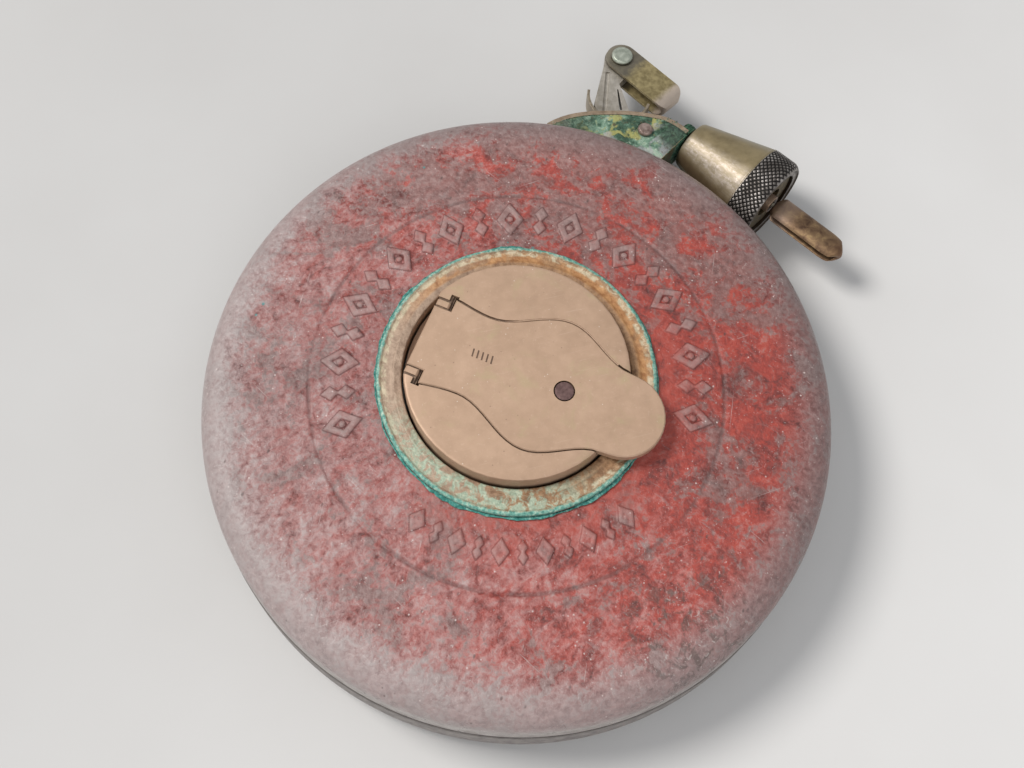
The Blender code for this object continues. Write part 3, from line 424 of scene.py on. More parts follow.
def cover_marks(look):
    """Flecks, scratches, stains and spots."""
    size = look.noise(scale=0.33, detail=2, rough=0.5, off=91.0)
    white = look.cells(0.62).band(lo=0.13, hi=0.06) * size.band(lo=0.50, hi=0.58)
    look.paint((0.66, 0.56, 0.53), white * 0.75)
    dust = look.noise(scale=2.3, detail=3, rough=0.6, off=17.0)
    look.paint((0.60, 0.50, 0.48), dust.band(lo=0.62, hi=0.72) * size.band(lo=0.42, hi=0.60) * 0.60)
    dark = look.cells(0.45, vec=look.stretch((0.4, 1, 0), along=0.7, across=1.3, off=9.0))
    gate = look.noise(scale=0.2, detail=2, rough=0.5, off=41.0)
    look.paint((0.085, 0.055, 0.05), dark.band(lo=0.18, hi=0.05) * gate.band(lo=0.48, hi=0.6) * 0.7)
    # scratches: direction, offset, threshold
    for direction, off, lo in (((1.0, 0.35, 0), 2.0, 0.71), ((0.2, 1.0, 0), 23.0, 0.72),
                               ((1.0, -0.9, 0), 47.0, 0.71)):
        scratch = look.noise(scale=1.0, detail=2, rough=0.5,
                             vec=look.stretch(direction, along=0.05, across=2.6, off=off))
        gate = look.noise(scale=0.09, detail=2, rough=0.5, off=off).band(lo=0.48, hi=0.60)
        look.paint((0.52, 0.43, 0.41), scratch.band(lo=lo, hi=lo + 0.045) * gate * 0.50)
    # dark stains and pale scuffs at the lower right
    low = look.near((29.0, -46.0, 21.0), inner=5.0, outer=20.0)
    stain = look.noise(scale=0.42, rough=0.7, warp=0.8, off=7.0).band(lo=0.50, hi=0.60)
    look.paint((0.085, 0.062, 0.052), low * stain * 0.6)
    scuff = look.noise(scale=1.0, rough=0.7, warp=0.8, off=77.0).band(lo=0.58, hi=0.66)
    look.paint((0.52, 0.47, 0.44), low * scuff * 0.55)
    # a few green spots
    gate = look.noise(scale=0.05, detail=2, rough=0.5, off=3.0).band(lo=0.5, hi=0.55)
    look.paint((0.06, 0.24, 0.24), look.cells(0.16).band(lo=0.060, hi=0.04) * gate * 0.8)


def back_look():
    """Lower half of the case: the same cloth, darker and greyer."""
    look = Look("cover_back_cloth")
    mid = look.noise(scale=0.22, rough=0.62, warp=0.8, off=3.0)
    fine = look.noise(scale=0.9, detail=6, rough=0.68, warp=0.4, off=11.0)
    red = look.ramp(mid * 0.6 + fine * 0.4, (0.30, (0.15, 0.045, 0.040)),
                    (0.5, (0.33, 0.085, 0.066)), (0.68, (0.46, 0.15, 0.11)))
    grey = look.ramp(look.noise(scale=0.6, rough=0.6, off=51.0),
                     (0.32, (0.12, 0.10, 0.095)), (0.68, (0.32, 0.28, 0.26)))
    outward = look.radius().band(lo=50.0, hi=58.0)
    worn = (mid * 0.6 + fine * 0.5 + outward * 0.5).band(lo=0.72, hi=0.92)
    look.base = look.mix(worn, red, grey)
    # painted shadow: a dark band along the seam, under the lip of the front cover
    seam = look.xyz[2].band(lo=10.6, hi=11.7)
    look.paint((0.10, 0.085, 0.075), seam * 0.7)
    grain = look.cells(1.15, "SMOOTH_F1")
    return look.finish(rough=mid * 0.2 + 0.38, height=grain * 0.42 + fine * 0.75 + mid * 0.7,
                       bump=0.5, depth=0.4)


def satin_brass():
    """Handled satin brass with a pinkish tan."""
    look = Look("hub_satin_brass")
    big = look.noise(scale=0.08, detail=4, rough=0.6, warp=0.5)
    mid = look.noise(scale=0.5, rough=0.6, off=9.0)
    look.base = look.ramp(big * 0.6 + mid * 0.4, (0.32, (0.430, 0.285, 0.192)),
                          (0.5, (0.490, 0.328, 0.225)), (0.68, (0.550, 0.375, 0.262)))
    bright = look.noise(scale=1.6, detail=4, rough=0.7, off=4.0)
    look.paint((0.64, 0.47, 0.35), bright.band(lo=0.58, hi=0.70, top=0.30))
    gate = look.noise(scale=0.3, detail=2, rough=0.5, off=8.0).band(lo=0.48, hi=0.56)
    look.paint((0.20, 0.12, 0.085), look.cells(0.55).band(lo=0.09, hi=0.035) * gate * 0.6)
    fleck = look.cells(0.8, vec=look.stretch((1, 0.6, 0), along=1.0, across=1.0, off=41.0))
    gate = look.noise(scale=0.25, detail=2, rough=0.5, off=28.0).band(lo=0.52, hi=0.60)
    look.paint((0.80, 0.72, 0.62), fleck.band(lo=0.10, hi=0.05) * gate * 0.7)
    green = look.noise(scale=0.13, detail=4, warp=0.5, off=21.0)
    look.paint((0.46, 0.38, 0.21), green.band(lo=0.54, hi=0.70, top=0.40))
    lines = look.noise(scale=1.0, detail=3, rough=0.6,
                       vec=look.stretch((1, 0.25, 0), along=0.12, across=3.2, off=6.0))
    look.paint((0.66, 0.50, 0.39), lines.band(lo=0.62, hi=0.72, top=0.22))
    # painted shade: brown darkening in the corners
    look.paint((0.150, 0.085, 0.050), look.grime(reach=0.9, lo=0.45, hi=0.80) * 0.72)
    grit = look.noise(scale=2.6, detail=3, rough=0.6, off=2.0)
    return look.finish(
        rough=(mid * 0.5 + lines * 0.5).band(lo=0.3, hi=0.7, bottom=0.46, top=0.60),
        height=mid * 0.8 + (lines * 0.25 + grit * 0.3), bump=0.14, depth=0.22,
        metal=0.28, spec=0.4)


def aged_brass(name, light=(0.46, 0.37, 0.22), dark=(0.17, 0.12, 0.07), green=0.35, seed=0.0,
               metal=0.7):
    """Dull brass with green crust in the corners; green sets how much."""
    look = Look(name)
    big = look.noise(scale=0.25, warp=0.7, off=seed)
    mid = look.noise(scale=1.1, off=seed + 6.0)
    look.base = look.ramp(big * 0.55 + mid * 0.45, (0.34, dark), (0.64, light))
    spread = look.noise(scale=0.7, rough=0.7, warp=0.9, off=seed + 2.0)
    crust = (spread + look.grime(reach=1.6, lo=0.5, hi=0.95) * 0.30).band(
        lo=0.60 - 0.12 * green, hi=0.80 - 0.12 * green)
    teal = look.ramp(look.noise(scale=1.8, detail=4, rough=0.6, off=seed + 1.0),
                     (0.35, (0.035, 0.10, 0.065)), (0.52, (0.09, 0.30, 0.21)),
                     (0.68, (0.42, 0.60, 0.45)))
    look.paint(teal, crust * min(1.0, green * 1.6))
    return look.finish(rough=mid * 0.3 + (0.26 + crust * 0.3), height=mid * 0.7 + crust * 0.8,
                       bump=0.4, depth=0.25, metal=(1.0 - crust) * metal)


def collar_look():
    """Turned brass bezel: brown bore, cream deposit, orange tarnish at the east, green bead."""
    look = Look("collar_tarnished_brass")
    r = look.radius()
    x, y, _ = look.xyz
    ang = look.math("ARCTAN2", y, x)
    big = look.noise(scale=0.12, detail=4, rough=0.6, warp=0.4, off=14.0)
    mid = look.noise(scale=0.8, off=1.0)
    patch = look.noise(scale=0.45, rough=0.68, warp=0.8, off=33.0)
    brass = look.ramp(mid, (0.35, (0.215, 0.115, 0.058)), (0.65, (0.430, 0.255, 0.135)))
    pink = look.ramp(mid, (0.35, (0.330, 0.235, 0.175)), (0.65, (0.500, 0.385, 0.300)))
    orange = look.ramp(mid, (0.35, (0.36, 0.155, 0.055)), (0.65, (0.60, 0.320, 0.135)))
    cream = look.ramp(mid, (0.3, (0.43, 0.375, 0.245)), (0.65, (0.70, 0.610, 0.440)))
    green = look.ramp(look.noise(scale=1.7, detail=4, rough=0.62, off=37.0),
                      (0.34, (0.045, 0.215, 0.180)), (0.50, (0.150, 0.400, 0.330)),
                      (0.68, (0.46, 0.620, 0.500)))
    west = look.math("COSINE", ang).band(lo=0.1, hi=-0.7)
    look.base = look.mix(west * 0.75, brass, pink)
    east = look.math("COSINE", ang - 0.95).band(lo=-0.35, hi=0.45)
    lane = r.band(lo=22.7, hi=23.4) * r.band(lo=25.4, hi=24.9)
    look.paint(orange, east * lane * big.band(lo=0.36, hi=0.50, bottom=0.25, top=0.9))
    ring = r.band(lo=24.3, hi=24.8) * r.band(lo=25.9, hi=25.5)
    look.paint(cream, ring * patch.band(lo=0.43, hi=0.55, bottom=0.10, top=0.88))
    south = look.math("SINE", ang + 0.35).band(lo=-0.45, hi=-0.95)
    look.paint(look.mix(0.5, cream, green), south * patch.band(lo=0.42, hi=0.56))
    outer = r + (look.noise(scale=0.8, detail=4, rough=0.7, off=44.0) - 0.5) * 1.3
    look.paint(green, outer.band(lo=25.55, hi=25.95) * 0.92)
    # painted shade: dark brown in the corners
    look.paint((0.10, 0.07, 0.045), look.grime(reach=1.0, lo=0.30, hi=0.70) * 0.55)
    return look.finish(rough=mid * 0.35 + 0.36, metal=0.2, bump=0.45, depth=0.3,
                       height=mid + look.noise(scale=2.5, detail=4, rough=0.6))


def verdigris(name, deep, body, pale):
    """Powdery green crust."""
    look = Look(name)
    look.base = look.ramp(look.noise(scale=1.4, rough=0.68, warp=0.5, off=4.0),
                          (0.34, deep), (0.52, body), (0.70, pale))
    return look.finish(rough=0.85, height=look.noise(scale=4.0, detail=4), bump=0.6, depth=0.25,
                       spec=0.25)


def crust_look():
    """Mottled copper salts and dried grease on the cheeks of the mouth, with painted shade at both
    ends.
    """
    look = Look("mouth_copper_salts")
    salts = look.noise(scale=0.20, rough=0.62, warp=0.6, off=12.0)
    yellow = look.noise(scale=0.26, rough=0.62, warp=0.7, off=55.0)
    mauve = look.noise(scale=0.17, detail=4, rough=0.6, warp=0.7, off=83.0)
    fine = look.noise(scale=1.2, rough=0.68, warp=0.4, off=6.0)
    look.base = look.ramp(salts * 0.7 + fine * 0.3,
                          (0.38, (0.022, 0.042, 0.026)), (0.47, (0.060, 0.120, 0.080)),
                          (0.54, (0.155, 0.265, 0.190)), (0.61, (0.330, 0.450, 0.345)),
                          (0.71, (0.520, 0.600, 0.490)))
    look.paint((0.40, 0.385, 0.135), (yellow + fine * 0.12).band(lo=0.57, hi=0.66, top=0.88))
    look.paint((0.42, 0.395, 0.420), (mauve + fine * 0.10).band(lo=0.58, hi=0.66, top=0.60))
    brown = look.noise(scale=0.55, rough=0.7, off=7.0)
    look.paint((0.115, 0.085, 0.050), brown.band(lo=0.56, hi=0.66, top=0.70))
    look.paint((0.66, 0.70, 0.60), fine.band(lo=0.60, hi=0.72, top=0.45))
    # painted shade: dark green patches at the two ends of the cheek, under the ends of the saddle
    dark = look.ramp(fine, (0.4, (0.012, 0.030, 0.018)), (0.66, (0.075, 0.150, 0.095)))
    look.paint(dark, look.near((36.4, 58.8, 15.8), inner=2.6, outer=5.4) * 0.92)
    dark = look.ramp(fine, (0.4, (0.018, 0.040, 0.028)), (0.66, (0.13, 0.20, 0.14)))
    look.paint(dark, look.near((13.0, 61.4, 15.8), inner=2.5, outer=7.0) * 0.80)
    return look.finish(rough=0.75, height=salts + look.noise(scale=2.6, detail=4), bump=0.6,
                       depth=0.40, spec=0.3)


def nickel(name, light, dark, seed, grain, rough, grime):
    """Brushed nickel; grain is the direction of the brushing, and the last argument sets the
    strength of the painted shade in its corners.
    """
    look = Look(name)
    big = look.noise(scale=0.16, detail=4, rough=0.6, warp=0.5, off=seed)
    mid = look.noise(scale=0.9, off=seed + 3.0)
    look.base = look.ramp(big * 0.6 + mid * 0.4, (0.34, dark), (0.62, light))
    brush = look.noise(scale=1.0, detail=4, rough=0.6,
                       vec=look.stretch(grain, along=0.10, across=3.0, off=seed))
    look.paint((0.66, 0.60, 0.50), brush.band(lo=0.55, hi=0.72, top=0.4))
    # painted shade: near-black in the corners
    look.paint((0.06, 0.05, 0.03), look.grime(reach=1.3, lo=0.40, hi=0.85) * grime)
    return look.finish(
        rough=(mid * 0.5 + brush * 0.5).band(lo=0.3, hi=0.7, bottom=rough - 0.06,
                                             top=rough + 0.16),
        height=mid * 0.5 + brush * 0.6, bump=0.18, depth=0.2, metal=0.55)


def cone_look():
    """Worn plated brass cone: olive middle, a painted reflection greying the rest, a painted
    highlight band broken by scratches, painted shade toward the case, dark root.
    """
    look = Look("cone_worn_plate")
    along = look.along(SPOUT_ALONG)
    out = look.along(SPOUT_OUT) - SPOUT_DIST
    z = look.xyz[2] - MID_Z
    r = look.length(out, z)
    ang = look.math("ARCTAN2", z, out)
    mid = look.noise(scale=0.45, detail=4, rough=0.6, off=3.0)
    olive = look.ramp(mid * 0.6 + look.noise(scale=0.18, detail=3, rough=0.6) * 0.4,
                      (0.35, (0.215, 0.165, 0.085)), (0.62, (0.310, 0.245, 0.135)))
    # painted reflection: grey everywhere but the top and the inner side
    look.base = look.mix(ang.band(lo=1.25, hi=0.65, top=0.75), olive, (0.260, 0.235, 0.175))
    # painted highlight: a pale band on the upper inner side, broken by scratches and flecks
    bright = ang.band(lo=1.62, hi=2.05) * ang.band(lo=2.75, hi=2.30)
    scratch = look.noise(scale=1.0, detail=4, rough=0.62,
                         vec=look.stretch(SPOUT_ALONG, along=0.10, across=1.5, off=6.0))
    fleck = look.noise(scale=1.4, rough=0.7, off=15.0).band(lo=0.52, hi=0.62)
    look.paint((0.60, 0.520, 0.455),
               bright * (0.25 + (scratch.band(lo=0.40, hi=0.62) * 0.35 + fleck * 0.30)))
    # painted shade: the inner side, toward the case, is darkened brown
    look.paint((0.12, 0.075, 0.042), ang.band(lo=2.35, hi=2.80) * 0.80)
    look.paint((0.26, 0.22, 0.14), along.band(lo=-10.0, hi=-12.2) * 0.35)
    # knurled band: worn tops with painted glints, over valleys darkened as painted shade
    knurl = along.band(lo=4.15, hi=4.30)
    worn = look.noise(scale=0.35, detail=4, rough=0.6, off=66.0).band(lo=0.42, hi=0.60)
    tops = look.mix(worn, (0.17, 0.150, 0.135), (0.50, 0.460, 0.430))
    height = look.attr("lift").band(lo=-0.17, hi=-0.015)
    look.paint(look.mix(height, (0.020, 0.017, 0.015), tops), knurl)
    # painted shade: the mouth and the bore are painted dark
    mouth = along.band(lo=9.9, hi=10.1) * r.band(lo=9.35, hi=9.15)
    bore = along.band(lo=-2.2, hi=-1.9) * r.band(lo=7.8, hi=7.6)
    look.paint((0.060, 0.040, 0.026), look.math("MAXIMUM", mouth, bore))
    plate_rough = mid.band(lo=0.3, hi=0.7, bottom=0.34, top=0.50)
    return look.finish(rough=look.mix(knurl, plate_rough, (0.38,) * 3),
                       metal=look.mix(knurl, (0.45,) * 3, (0.75,) * 3),
                       height=mid * 0.2 + fleck * 0.12, bump=0.15, depth=0.2)


def bronze(name, seed=0.0):
    """Brown bronze, paler towards the near end of the ring and redder at the far end."""
    look = Look(name)
    along = look.along(SPOUT_ALONG)
    mid = look.noise(scale=0.55, rough=0.68, warp=0.5, off=seed + 3.0)
    look.base = look.ramp(mid, (0.32, (0.095, 0.052, 0.030)), (0.46, (0.175, 0.105, 0.058)),
                          (0.58, (0.245, 0.155, 0.082)), (0.70, (0.330, 0.225, 0.110)))
    look.paint((0.50, 0.36, 0.28), along.band(lo=17.5, hi=13.5) * 0.45)
    look.paint((0.20, 0.10, 0.055), along.band(lo=24.5, hi=28.5) * 0.5)
    # painted shade: near-black in the corners
    look.paint((0.02, 0.014, 0.01), look.grime(reach=1.2, lo=0.3, hi=0.8) * 0.85)
    return look.finish(rough=mid * 0.22 + 0.30, metal=0.62, bump=0.16, depth=0.2,
                       height=mid + look.noise(scale=2.4, detail=4, rough=0.6))


def bail_look():
    """Bail strap: dark grey beside the rivet, olive gold along it, a painted pinkish highlight at
    the bend, painted shade underneath and in the corners.
    """
    look = Look("bail_strap_finish")
    strap, _ = plan_axes(-47)
    rivet_x, rivet_y = 26.2, 81.0
    along = look.along(strap) - (rivet_x * strap[0] + rivet_y * strap[1])
    mid = look.noise(scale=0.8, off=3.0)
    gold = look.ramp(mid, (0.35, (0.24, 0.19, 0.09)), (0.62, (0.40, 0.325, 0.165)))
    beside_rivet = (along + mid * 3.0).band(lo=7.5, hi=4.5)
    look.base = look.mix(beside_rivet * 0.80, gold, (0.135, 0.125, 0.110))
    look.paint((0.36, 0.32, 0.25), along.band(lo=-0.5, hi=-2.5) * 0.6)
    # painted highlight: pinkish at the bend
    look.paint((0.62, 0.52, 0.46), (along + mid * 2.0).band(lo=13.4, hi=15.6) * 0.75)
    # painted shade: faces turned down are darkened brown
    normal = look.node("ShaderNodeNewGeometry", {}, out="Normal")
    upward = look.node("ShaderNodeSeparateXYZ", {0: normal}, out=2)
    look.paint((0.20, 0.12, 0.03), upward.band(lo=-0.2, hi=-0.6) * 0.5)
    # painted shade: dark brown in the corners
    look.paint((0.05, 0.035, 0.015), look.grime(reach=1.0, lo=0.35, hi=0.8) * 0.6)
    return look.finish(rough=mid.band(lo=0.3, hi=0.7, bottom=0.32, top=0.46), metal=0.6,
                       height=mid + look.noise(scale=2.6, detail=4, rough=0.6),
                       bump=0.12, depth=0.2)


def plain(name, dark, light, rough=0.45, metal=0.9, scale=0.8, seed=0.0):
    """Two mottled tones with painted shade in the corners."""
    look = Look(name)
    mid = look.noise(scale=scale, warp=0.3, off=seed)
    look.base = look.ramp(mid, (0.34, dark), (0.66, light))
    # painted shade: the dark tone in the corners
    look.paint(tuple(c * 0.25 for c in dark), look.grime(reach=1.0, lo=0.35, hi=0.85) * 0.7)
    return look.finish(rough=mid.band(lo=0.3, hi=0.7, bottom=rough - 0.07, top=rough + 0.1),
                       metal=metal, height=mid, bump=0.2, depth=0.2)


def cord_look():
    """Pale twisted cord."""
    look = Look("line_twisted_cord")
    twist = look.node("ShaderNodeTexWave", {"Vector": look.pos, "Scale": 1.5,
                                            "Distortion": 1.0, "Detail": 2.0},
                      out="Fac", bands_direction="DIAGONAL")
    look.base = look.ramp(twist * 0.4 + look.noise(scale=1.2, detail=4, rough=0.6) * 0.6,
                          (0.3, (0.42, 0.37, 0.27)), (0.7, (0.74, 0.69, 0.56)))
    return look.finish(rough=0.9, height=twist, bump=0.6, depth=0.3, spec=0.2)


def grease_look():
    """Brown dried grease, rubbed down to the tone of the brass where it lies flush."""
    look = Look("gap_dried_grease")
    mid = look.noise(scale=1.4, warp=0.3, off=12.0)
    look.base = look.ramp(mid, (0.34, (0.085, 0.050, 0.030)), (0.66, (0.23, 0.145, 0.095)))
    brass = look.ramp(mid, (0.34, (0.385, 0.250, 0.165)), (0.66, (0.500, 0.335, 0.230)))
    look.paint(brass, look.xyz[2].band(lo=27.80, hi=27.99, top=0.92))
    return look.finish(rough=0.62, height=mid, bump=0.2, depth=0.2, metal=0.05)


def table_look():
    """Plain pale table, shaded from one corner to the other."""
    look = Look("table_plain")
    look.base = look.ramp(look.noise(scale=0.012, detail=4, rough=0.55),
                          (0.35, (0.645, 0.635, 0.625)), (0.65, (0.675, 0.668, 0.660)))
    x, y, _ = look.xyz
    tone = x * 0.00080 + y * -0.00055
    # painted shade: darker towards the upper left, lighter towards the lower right
    look.shade(tone.band(lo=-0.13, hi=0.13, bottom=0.83, top=1.09))
    return look.finish(rough=0.75, height=look.noise(scale=0.5, detail=3, rough=0.5),
                       bump=0.04, depth=0.2, spec=0.2)


# ======================================================= finer geometry: case
PATTERN_RISE, PATTERN_EASE = 0.42, 0.38
# angles of the figures in degrees, ring radius, half height, half width, half stroke
PATTERN_BANDS = (
    (np.linspace(196, -14, 21), 33.6, 3.2, 2.3, 0.42),
    (np.linspace(236, 306, 11), 32.3, 1.75, 1.25, 0.28),
)


def pattern(radius, angle):
    """Height of the raised band of open lozenges and bars round the collar."""
    height = np.zeros_like(radius)
    for degrees, ring_r, tall, wide, stroke in PATTERN_BANDS:
        for i, centre in enumerate(np.radians(degrees)):
            across = ((angle - centre + math.pi) % (2 * math.pi) - math.pi) * radius
            out = radius - ring_r
            if i % 2 == 0:
                # lozenge outline with a dot in the middle
                lozenge = np.abs(across) / wide + np.abs(out) / tall
                gap = np.abs(lozenge - 0.84) * (wide * tall / math.hypot(wide, tall)) - stroke
                gap = np.minimum(gap, np.hypot(across, out) - stroke)
            else:
                # pair of small solid lozenges, one beyond the other
                half = wide * 0.42
                pair = np.abs(across) / half + np.abs(np.abs(out) - tall * 0.48) / (tall * 0.40)
                gap = (pair - 1.0) * 0.55 * half
            near = (np.abs(across) < wide + 1.5) & (np.abs(out) < tall + 1.5)
            ease = np.clip(1 - gap / PATTERN_EASE, 0, 1)
            height = np.maximum(height, np.where(near, ease * ease * (3 - 2 * ease), 0))
    return height * PATTERN_RISE


def face_z(r):
    """Height of the face: a slow fall outside the pressed ring, a steeper rise inside it."""
    if r > FACE_RING_R:
        return CASE_T - (CASE_T - EDGE_Z) * (r - FACE_RING_R) / (FLAT_R - FACE_RING_R)
    return CASE_T + 0.9 * (1 - (r - FACE_BORE_R) / (FACE_RING_R - FACE_BORE_R)) ** 1.3


def front_shell():
    shoulder_z = EDGE_Z - SHOULDER
    low = 12.2
    fine_end, fine_step, coarse_step = 41.0, 0.27, 0.7
    face_rs = [*np.arange(FACE_BORE_R, fine_end, fine_step),
               *np.arange(fine_end, FLAT_R, coarse_step)]
    outline = [(r, face_z(r)) for r in face_rs]
    outline += arc(FLAT_R, shoulder_z, SHOULDER, 90, 0, SHOULDER_STEPS)
    outline += [(CASE_R, z) for z in np.linspace(shoulder_z - 0.9, low + 0.25, 7)]
    outline += [(CASE_R - 0.12, low + 0.06), (CASE_R - 0.3, low), (CASE_R - WALL, low)]
    outline += arc(FLAT_R, shoulder_z, SHOULDER - WALL, 0, 90, INNER_STEPS)
    outline += [(FACE_RING_R, CASE_T - WALL - 0.25), (FACE_BORE_R, face_z(FACE_BORE_R) - WALL)]
    radius, height, angle = outline_grid(outline, 900)

    face = slice(0, len(face_rs) + SHOULDER_STEPS)
    r, t = radius[face], angle[face]
    x, y = r * np.cos(t), r * np.sin(t)
    rise = np.zeros_like(radius)
    rise[face] = pattern(r, t)
    # the pressed ring is an open groove that fades in places
    fading = np.clip((value_noise(x, y, seed=77, cell=11.0, octaves=2) - 0.25) * 1.8, 0, 1)
    groove = 0.26 * np.exp(-((r - FACE_RING_R) / 0.36) ** 2) * (0.35 + 0.9 * fading)
    lumps = ((value_noise(x, y, seed=3, cell=9.0) - 0.5) * 0.16
             + (value_noise(x, y, seed=8, cell=1.6) - 0.5) * 0.10)
    # no lumps at the bore or over the rim
    lumps *= np.clip((r - FACE_BORE_R) / 0.6, 0, 1) * np.clip((60.2 - r) / 3.0, 0, 1)
    wear = 0.75 + 0.5 * value_noise(x, y, seed=21, cell=4.0, octaves=2)
    height[face] += rise[face] * wear - groove + lumps
    return turned_z("front_cover", radius, height, angle, sharp=50, attrs={"rise": rise})


def back_shell():
    r = CASE_R + BACK_LIP
    outline = [(2.8, 2.0), (12.2, 2.0), (12.9, 1.2), (13.6, 0.0), (20.0, 0.0), (40.0, 0.0),
               (r - SHOULDER, 0.0)]
    outline += arc(r - SHOULDER, SHOULDER, SHOULDER, -90, 0, SHOULDER_STEPS)[1:]
    outline += [(r, z) for z in np.linspace(6.0, 11.35, 5)]
    outline += [(r - 0.1, 11.72), (r - 0.3, 11.8), (r - WALL, 11.8)]
    outline += arc(r - SHOULDER, SHOULDER, SHOULDER - WALL, 0, -90, INNER_STEPS)
    outline += [(14.6, 0.8), (13.2, 2.8), (2.8, 2.8)]
    return turned_z("back_cover", *outline_grid(outline[::-1], 256), sharp=50)


# radius, z
COLLAR_OUTLINE = [
    (21.6, 20.5), (23.95, 20.5), (23.95, 24.2), (26.25, 24.2), (26.4, 24.35), (26.42, 24.7),
    (26.3, 24.95), (26.1, 25.07), (25.85, 25.1), (25.62, 25.02), (25.45, 24.82), (25.2, 24.76),
    (24.4, 24.76), (23.7, 24.78), (23.45, 24.86), (23.25, 25.02), (23.0, 25.05), (22.6, 24.98),
    (22.1, 24.93), (21.75, 24.9), (21.6, 24.75),
]


def collar():
    outline = []
    for a, b in zip(COLLAR_OUTLINE, COLLAR_OUTLINE[1:] + COLLAR_OUTLINE[:1]):
        outline += [a, ((a[0] + b[0]) / 2, (a[1] + b[1]) / 2)]
    radius, height, angle = outline_grid(outline[::-1], 480)
    lumps = value_noise(radius * np.cos(angle), radius * np.sin(angle), seed=5, cell=1.1) - 0.5
    height = height + np.where(height > 24.25, lumps * 0.16, 0.0)
    return turned_z("collar_bezel", radius, height, angle, sharp=60)


def collar_crust():
    """Uneven bead of corrosion in the corner round the collar, thin where there is little."""
    ring_r, ring_z, thick, flatten = 26.55, 24.0, 0.52, 0.5
    segs, around = 900, 14
    turn = turn_angles(segs)
    x, y = ring_r * np.cos(turn), ring_r * np.sin(turn)
    spread = value_noise(x, y, seed=11, cell=5.0, octaves=4)
    amount = 0.25 + 0.75 * np.clip((spread - 0.42) * 3.4, 0.0, 1.0)
    wander = (value_noise(x, y, seed=20, cell=2.2) - 0.5) * 0.5
    rings = []
    for j in range(around):
        a = 2 * math.pi * j / around
        lumps = 0.62 + 0.9 * value_noise(x + 3.1 * j, y - 2.3 * j, seed=16, cell=1.0)
        bead_r = thick * amount * lumps
        radius = ring_r + bead_r * math.cos(a) + wander
        z = ring_z + bead_r * math.sin(a) * flatten
        rings.append(np.stack([radius * np.cos(turn), radius * np.sin(turn), z], -1))
    return make("collar_verdigris", np.concatenate(rings), ring_faces(around, segs), sharp=80)


# ===================================================== finer geometry: nozzle
def nozzle():
    """Cone opening into a knurled band; outline is (radius, place along the spout)."""
    root, knurl, end = -12.1, 4.2, 10.3
    root_r, band_r, bore_r, hole_r = 5.35, 10.2, 7.5, 2.8
    teeth, tooth_depth, pitch = 50, 0.30, 1.06
    outline = [(hole_r, root), (root_r - 0.5, root), (root_r - 0.2, root + 0.06),
               (root_r - 0.05, root + 0.2)]
    for s in np.linspace(root + 0.4, knurl - 0.45, 26):
        outline.append((root_r + (band_r - 0.12 - root_r) * (s - root) / (knurl - root), s))
    outline += [(band_r - 0.13, knurl - 0.2), (band_r - 0.22, knurl - 0.1),
                (band_r - 0.22, knurl + 0.02)]
    first = len(outline)
    for s in np.linspace(knurl + 0.12, end, 64):
        over = max(0.0, (s - (end - 1.7)) / 1.7)
        outline.append((band_r - 0.85 * over ** 2.2, s))
    last = len(outline)
    outline += [(9.1, end), (8.9, end - 0.25), (8.2, end - 0.3), (bore_r, end - 0.3),
                (bore_r, 2.0), (bore_r, -2.0), (hole_r, -3.6)]
    radius, along, angle = outline_grid(outline[::-1], 640)

    # two crossing families of grooves cut the diamonds of the knurl
    rows = slice(len(outline) - last, len(outline) - first)
    s, t = along[rows], angle[rows]
    turns, lead = t * teeth / (2 * math.pi), (s - knurl) / pitch
    tooth = np.minimum(np.abs(np.sin(math.pi * (turns + lead))),
                       np.abs(np.sin(math.pi * (turns - lead))))
    tooth = np.minimum(tooth, 0.60 + 0.40 * value_noise(t * 10.0, s, seed=31, cell=2.5))
    lift = np.zeros_like(radius)
    lift[rows] = -tooth_depth * (1 - tooth ** 0.8) * np.clip((end + 0.15 - s) / 0.6, 0.25, 1)
    return make("cone_shell", round_spout(along, radius + lift, angle),
                ring_faces(*radius.shape), sharp=75, attrs={"lift": lift})


def end_ring():
    """Folded strap loop with a crowned outer face, rounded in plan at the far end."""
    start, end, half_width, half, thick = 10.7, 28.3, 2.85, 1.9, 1.05
    arc_steps, straight_steps = 22, 40
    near, far = start + half, end - half
    # along, z, and the outward normal in the same two directions
    path = []
    for side, first, second in ((1, near, far), (-1, far, near)):
        for i in range(straight_steps):
            path.append((first + (second - first) * i / straight_steps, side * half, 0.0, side))
        for i in range(arc_steps):
            a = math.radians(side * 90 - 180 * i / arc_steps)
            path.append((second + half * math.cos(a), half * math.sin(a), math.cos(a), math.sin(a)))
    # section: share of the half width, depth; crowned outside, flat inside
    section = [(a, -0.80 * abs(a) ** 2.3 - 0.10 * abs(a) ** 12) for a in np.linspace(-1, 1, 17)]
    section += [(a * 0.97, -thick + 0.05 * abs(a) ** 8) for a in np.linspace(1, -1, 9)]
    points = []
    for s, z, normal_s, normal_z in path:
        # the plan outline narrows at the ends
        width = half_width
        if s > end - 4.6:
            width = half_width * max(0.0, 1 - ((s - (end - 4.6)) / 4.8) ** 2.6) ** 0.5
        if s < start + 0.9:
            width = half_width - 0.55 * (1 - max(0.0, (s - start) / 0.9)) ** 1.5
        for share, depth in section:
            points.append(SPOUT_ALONG * (s + normal_s * depth)
                          + SPOUT_OUT * (SPOUT_DIST + share * width)
                          + UP * (MID_Z + z + normal_z * depth))
    return make("ring_strap", points, ring_faces(len(path), len(section)), sharp=55)


# ================================================== corrosion on the mouth
CHEEK_HALF = 4.32                         # from mid height to the skin of either cheek


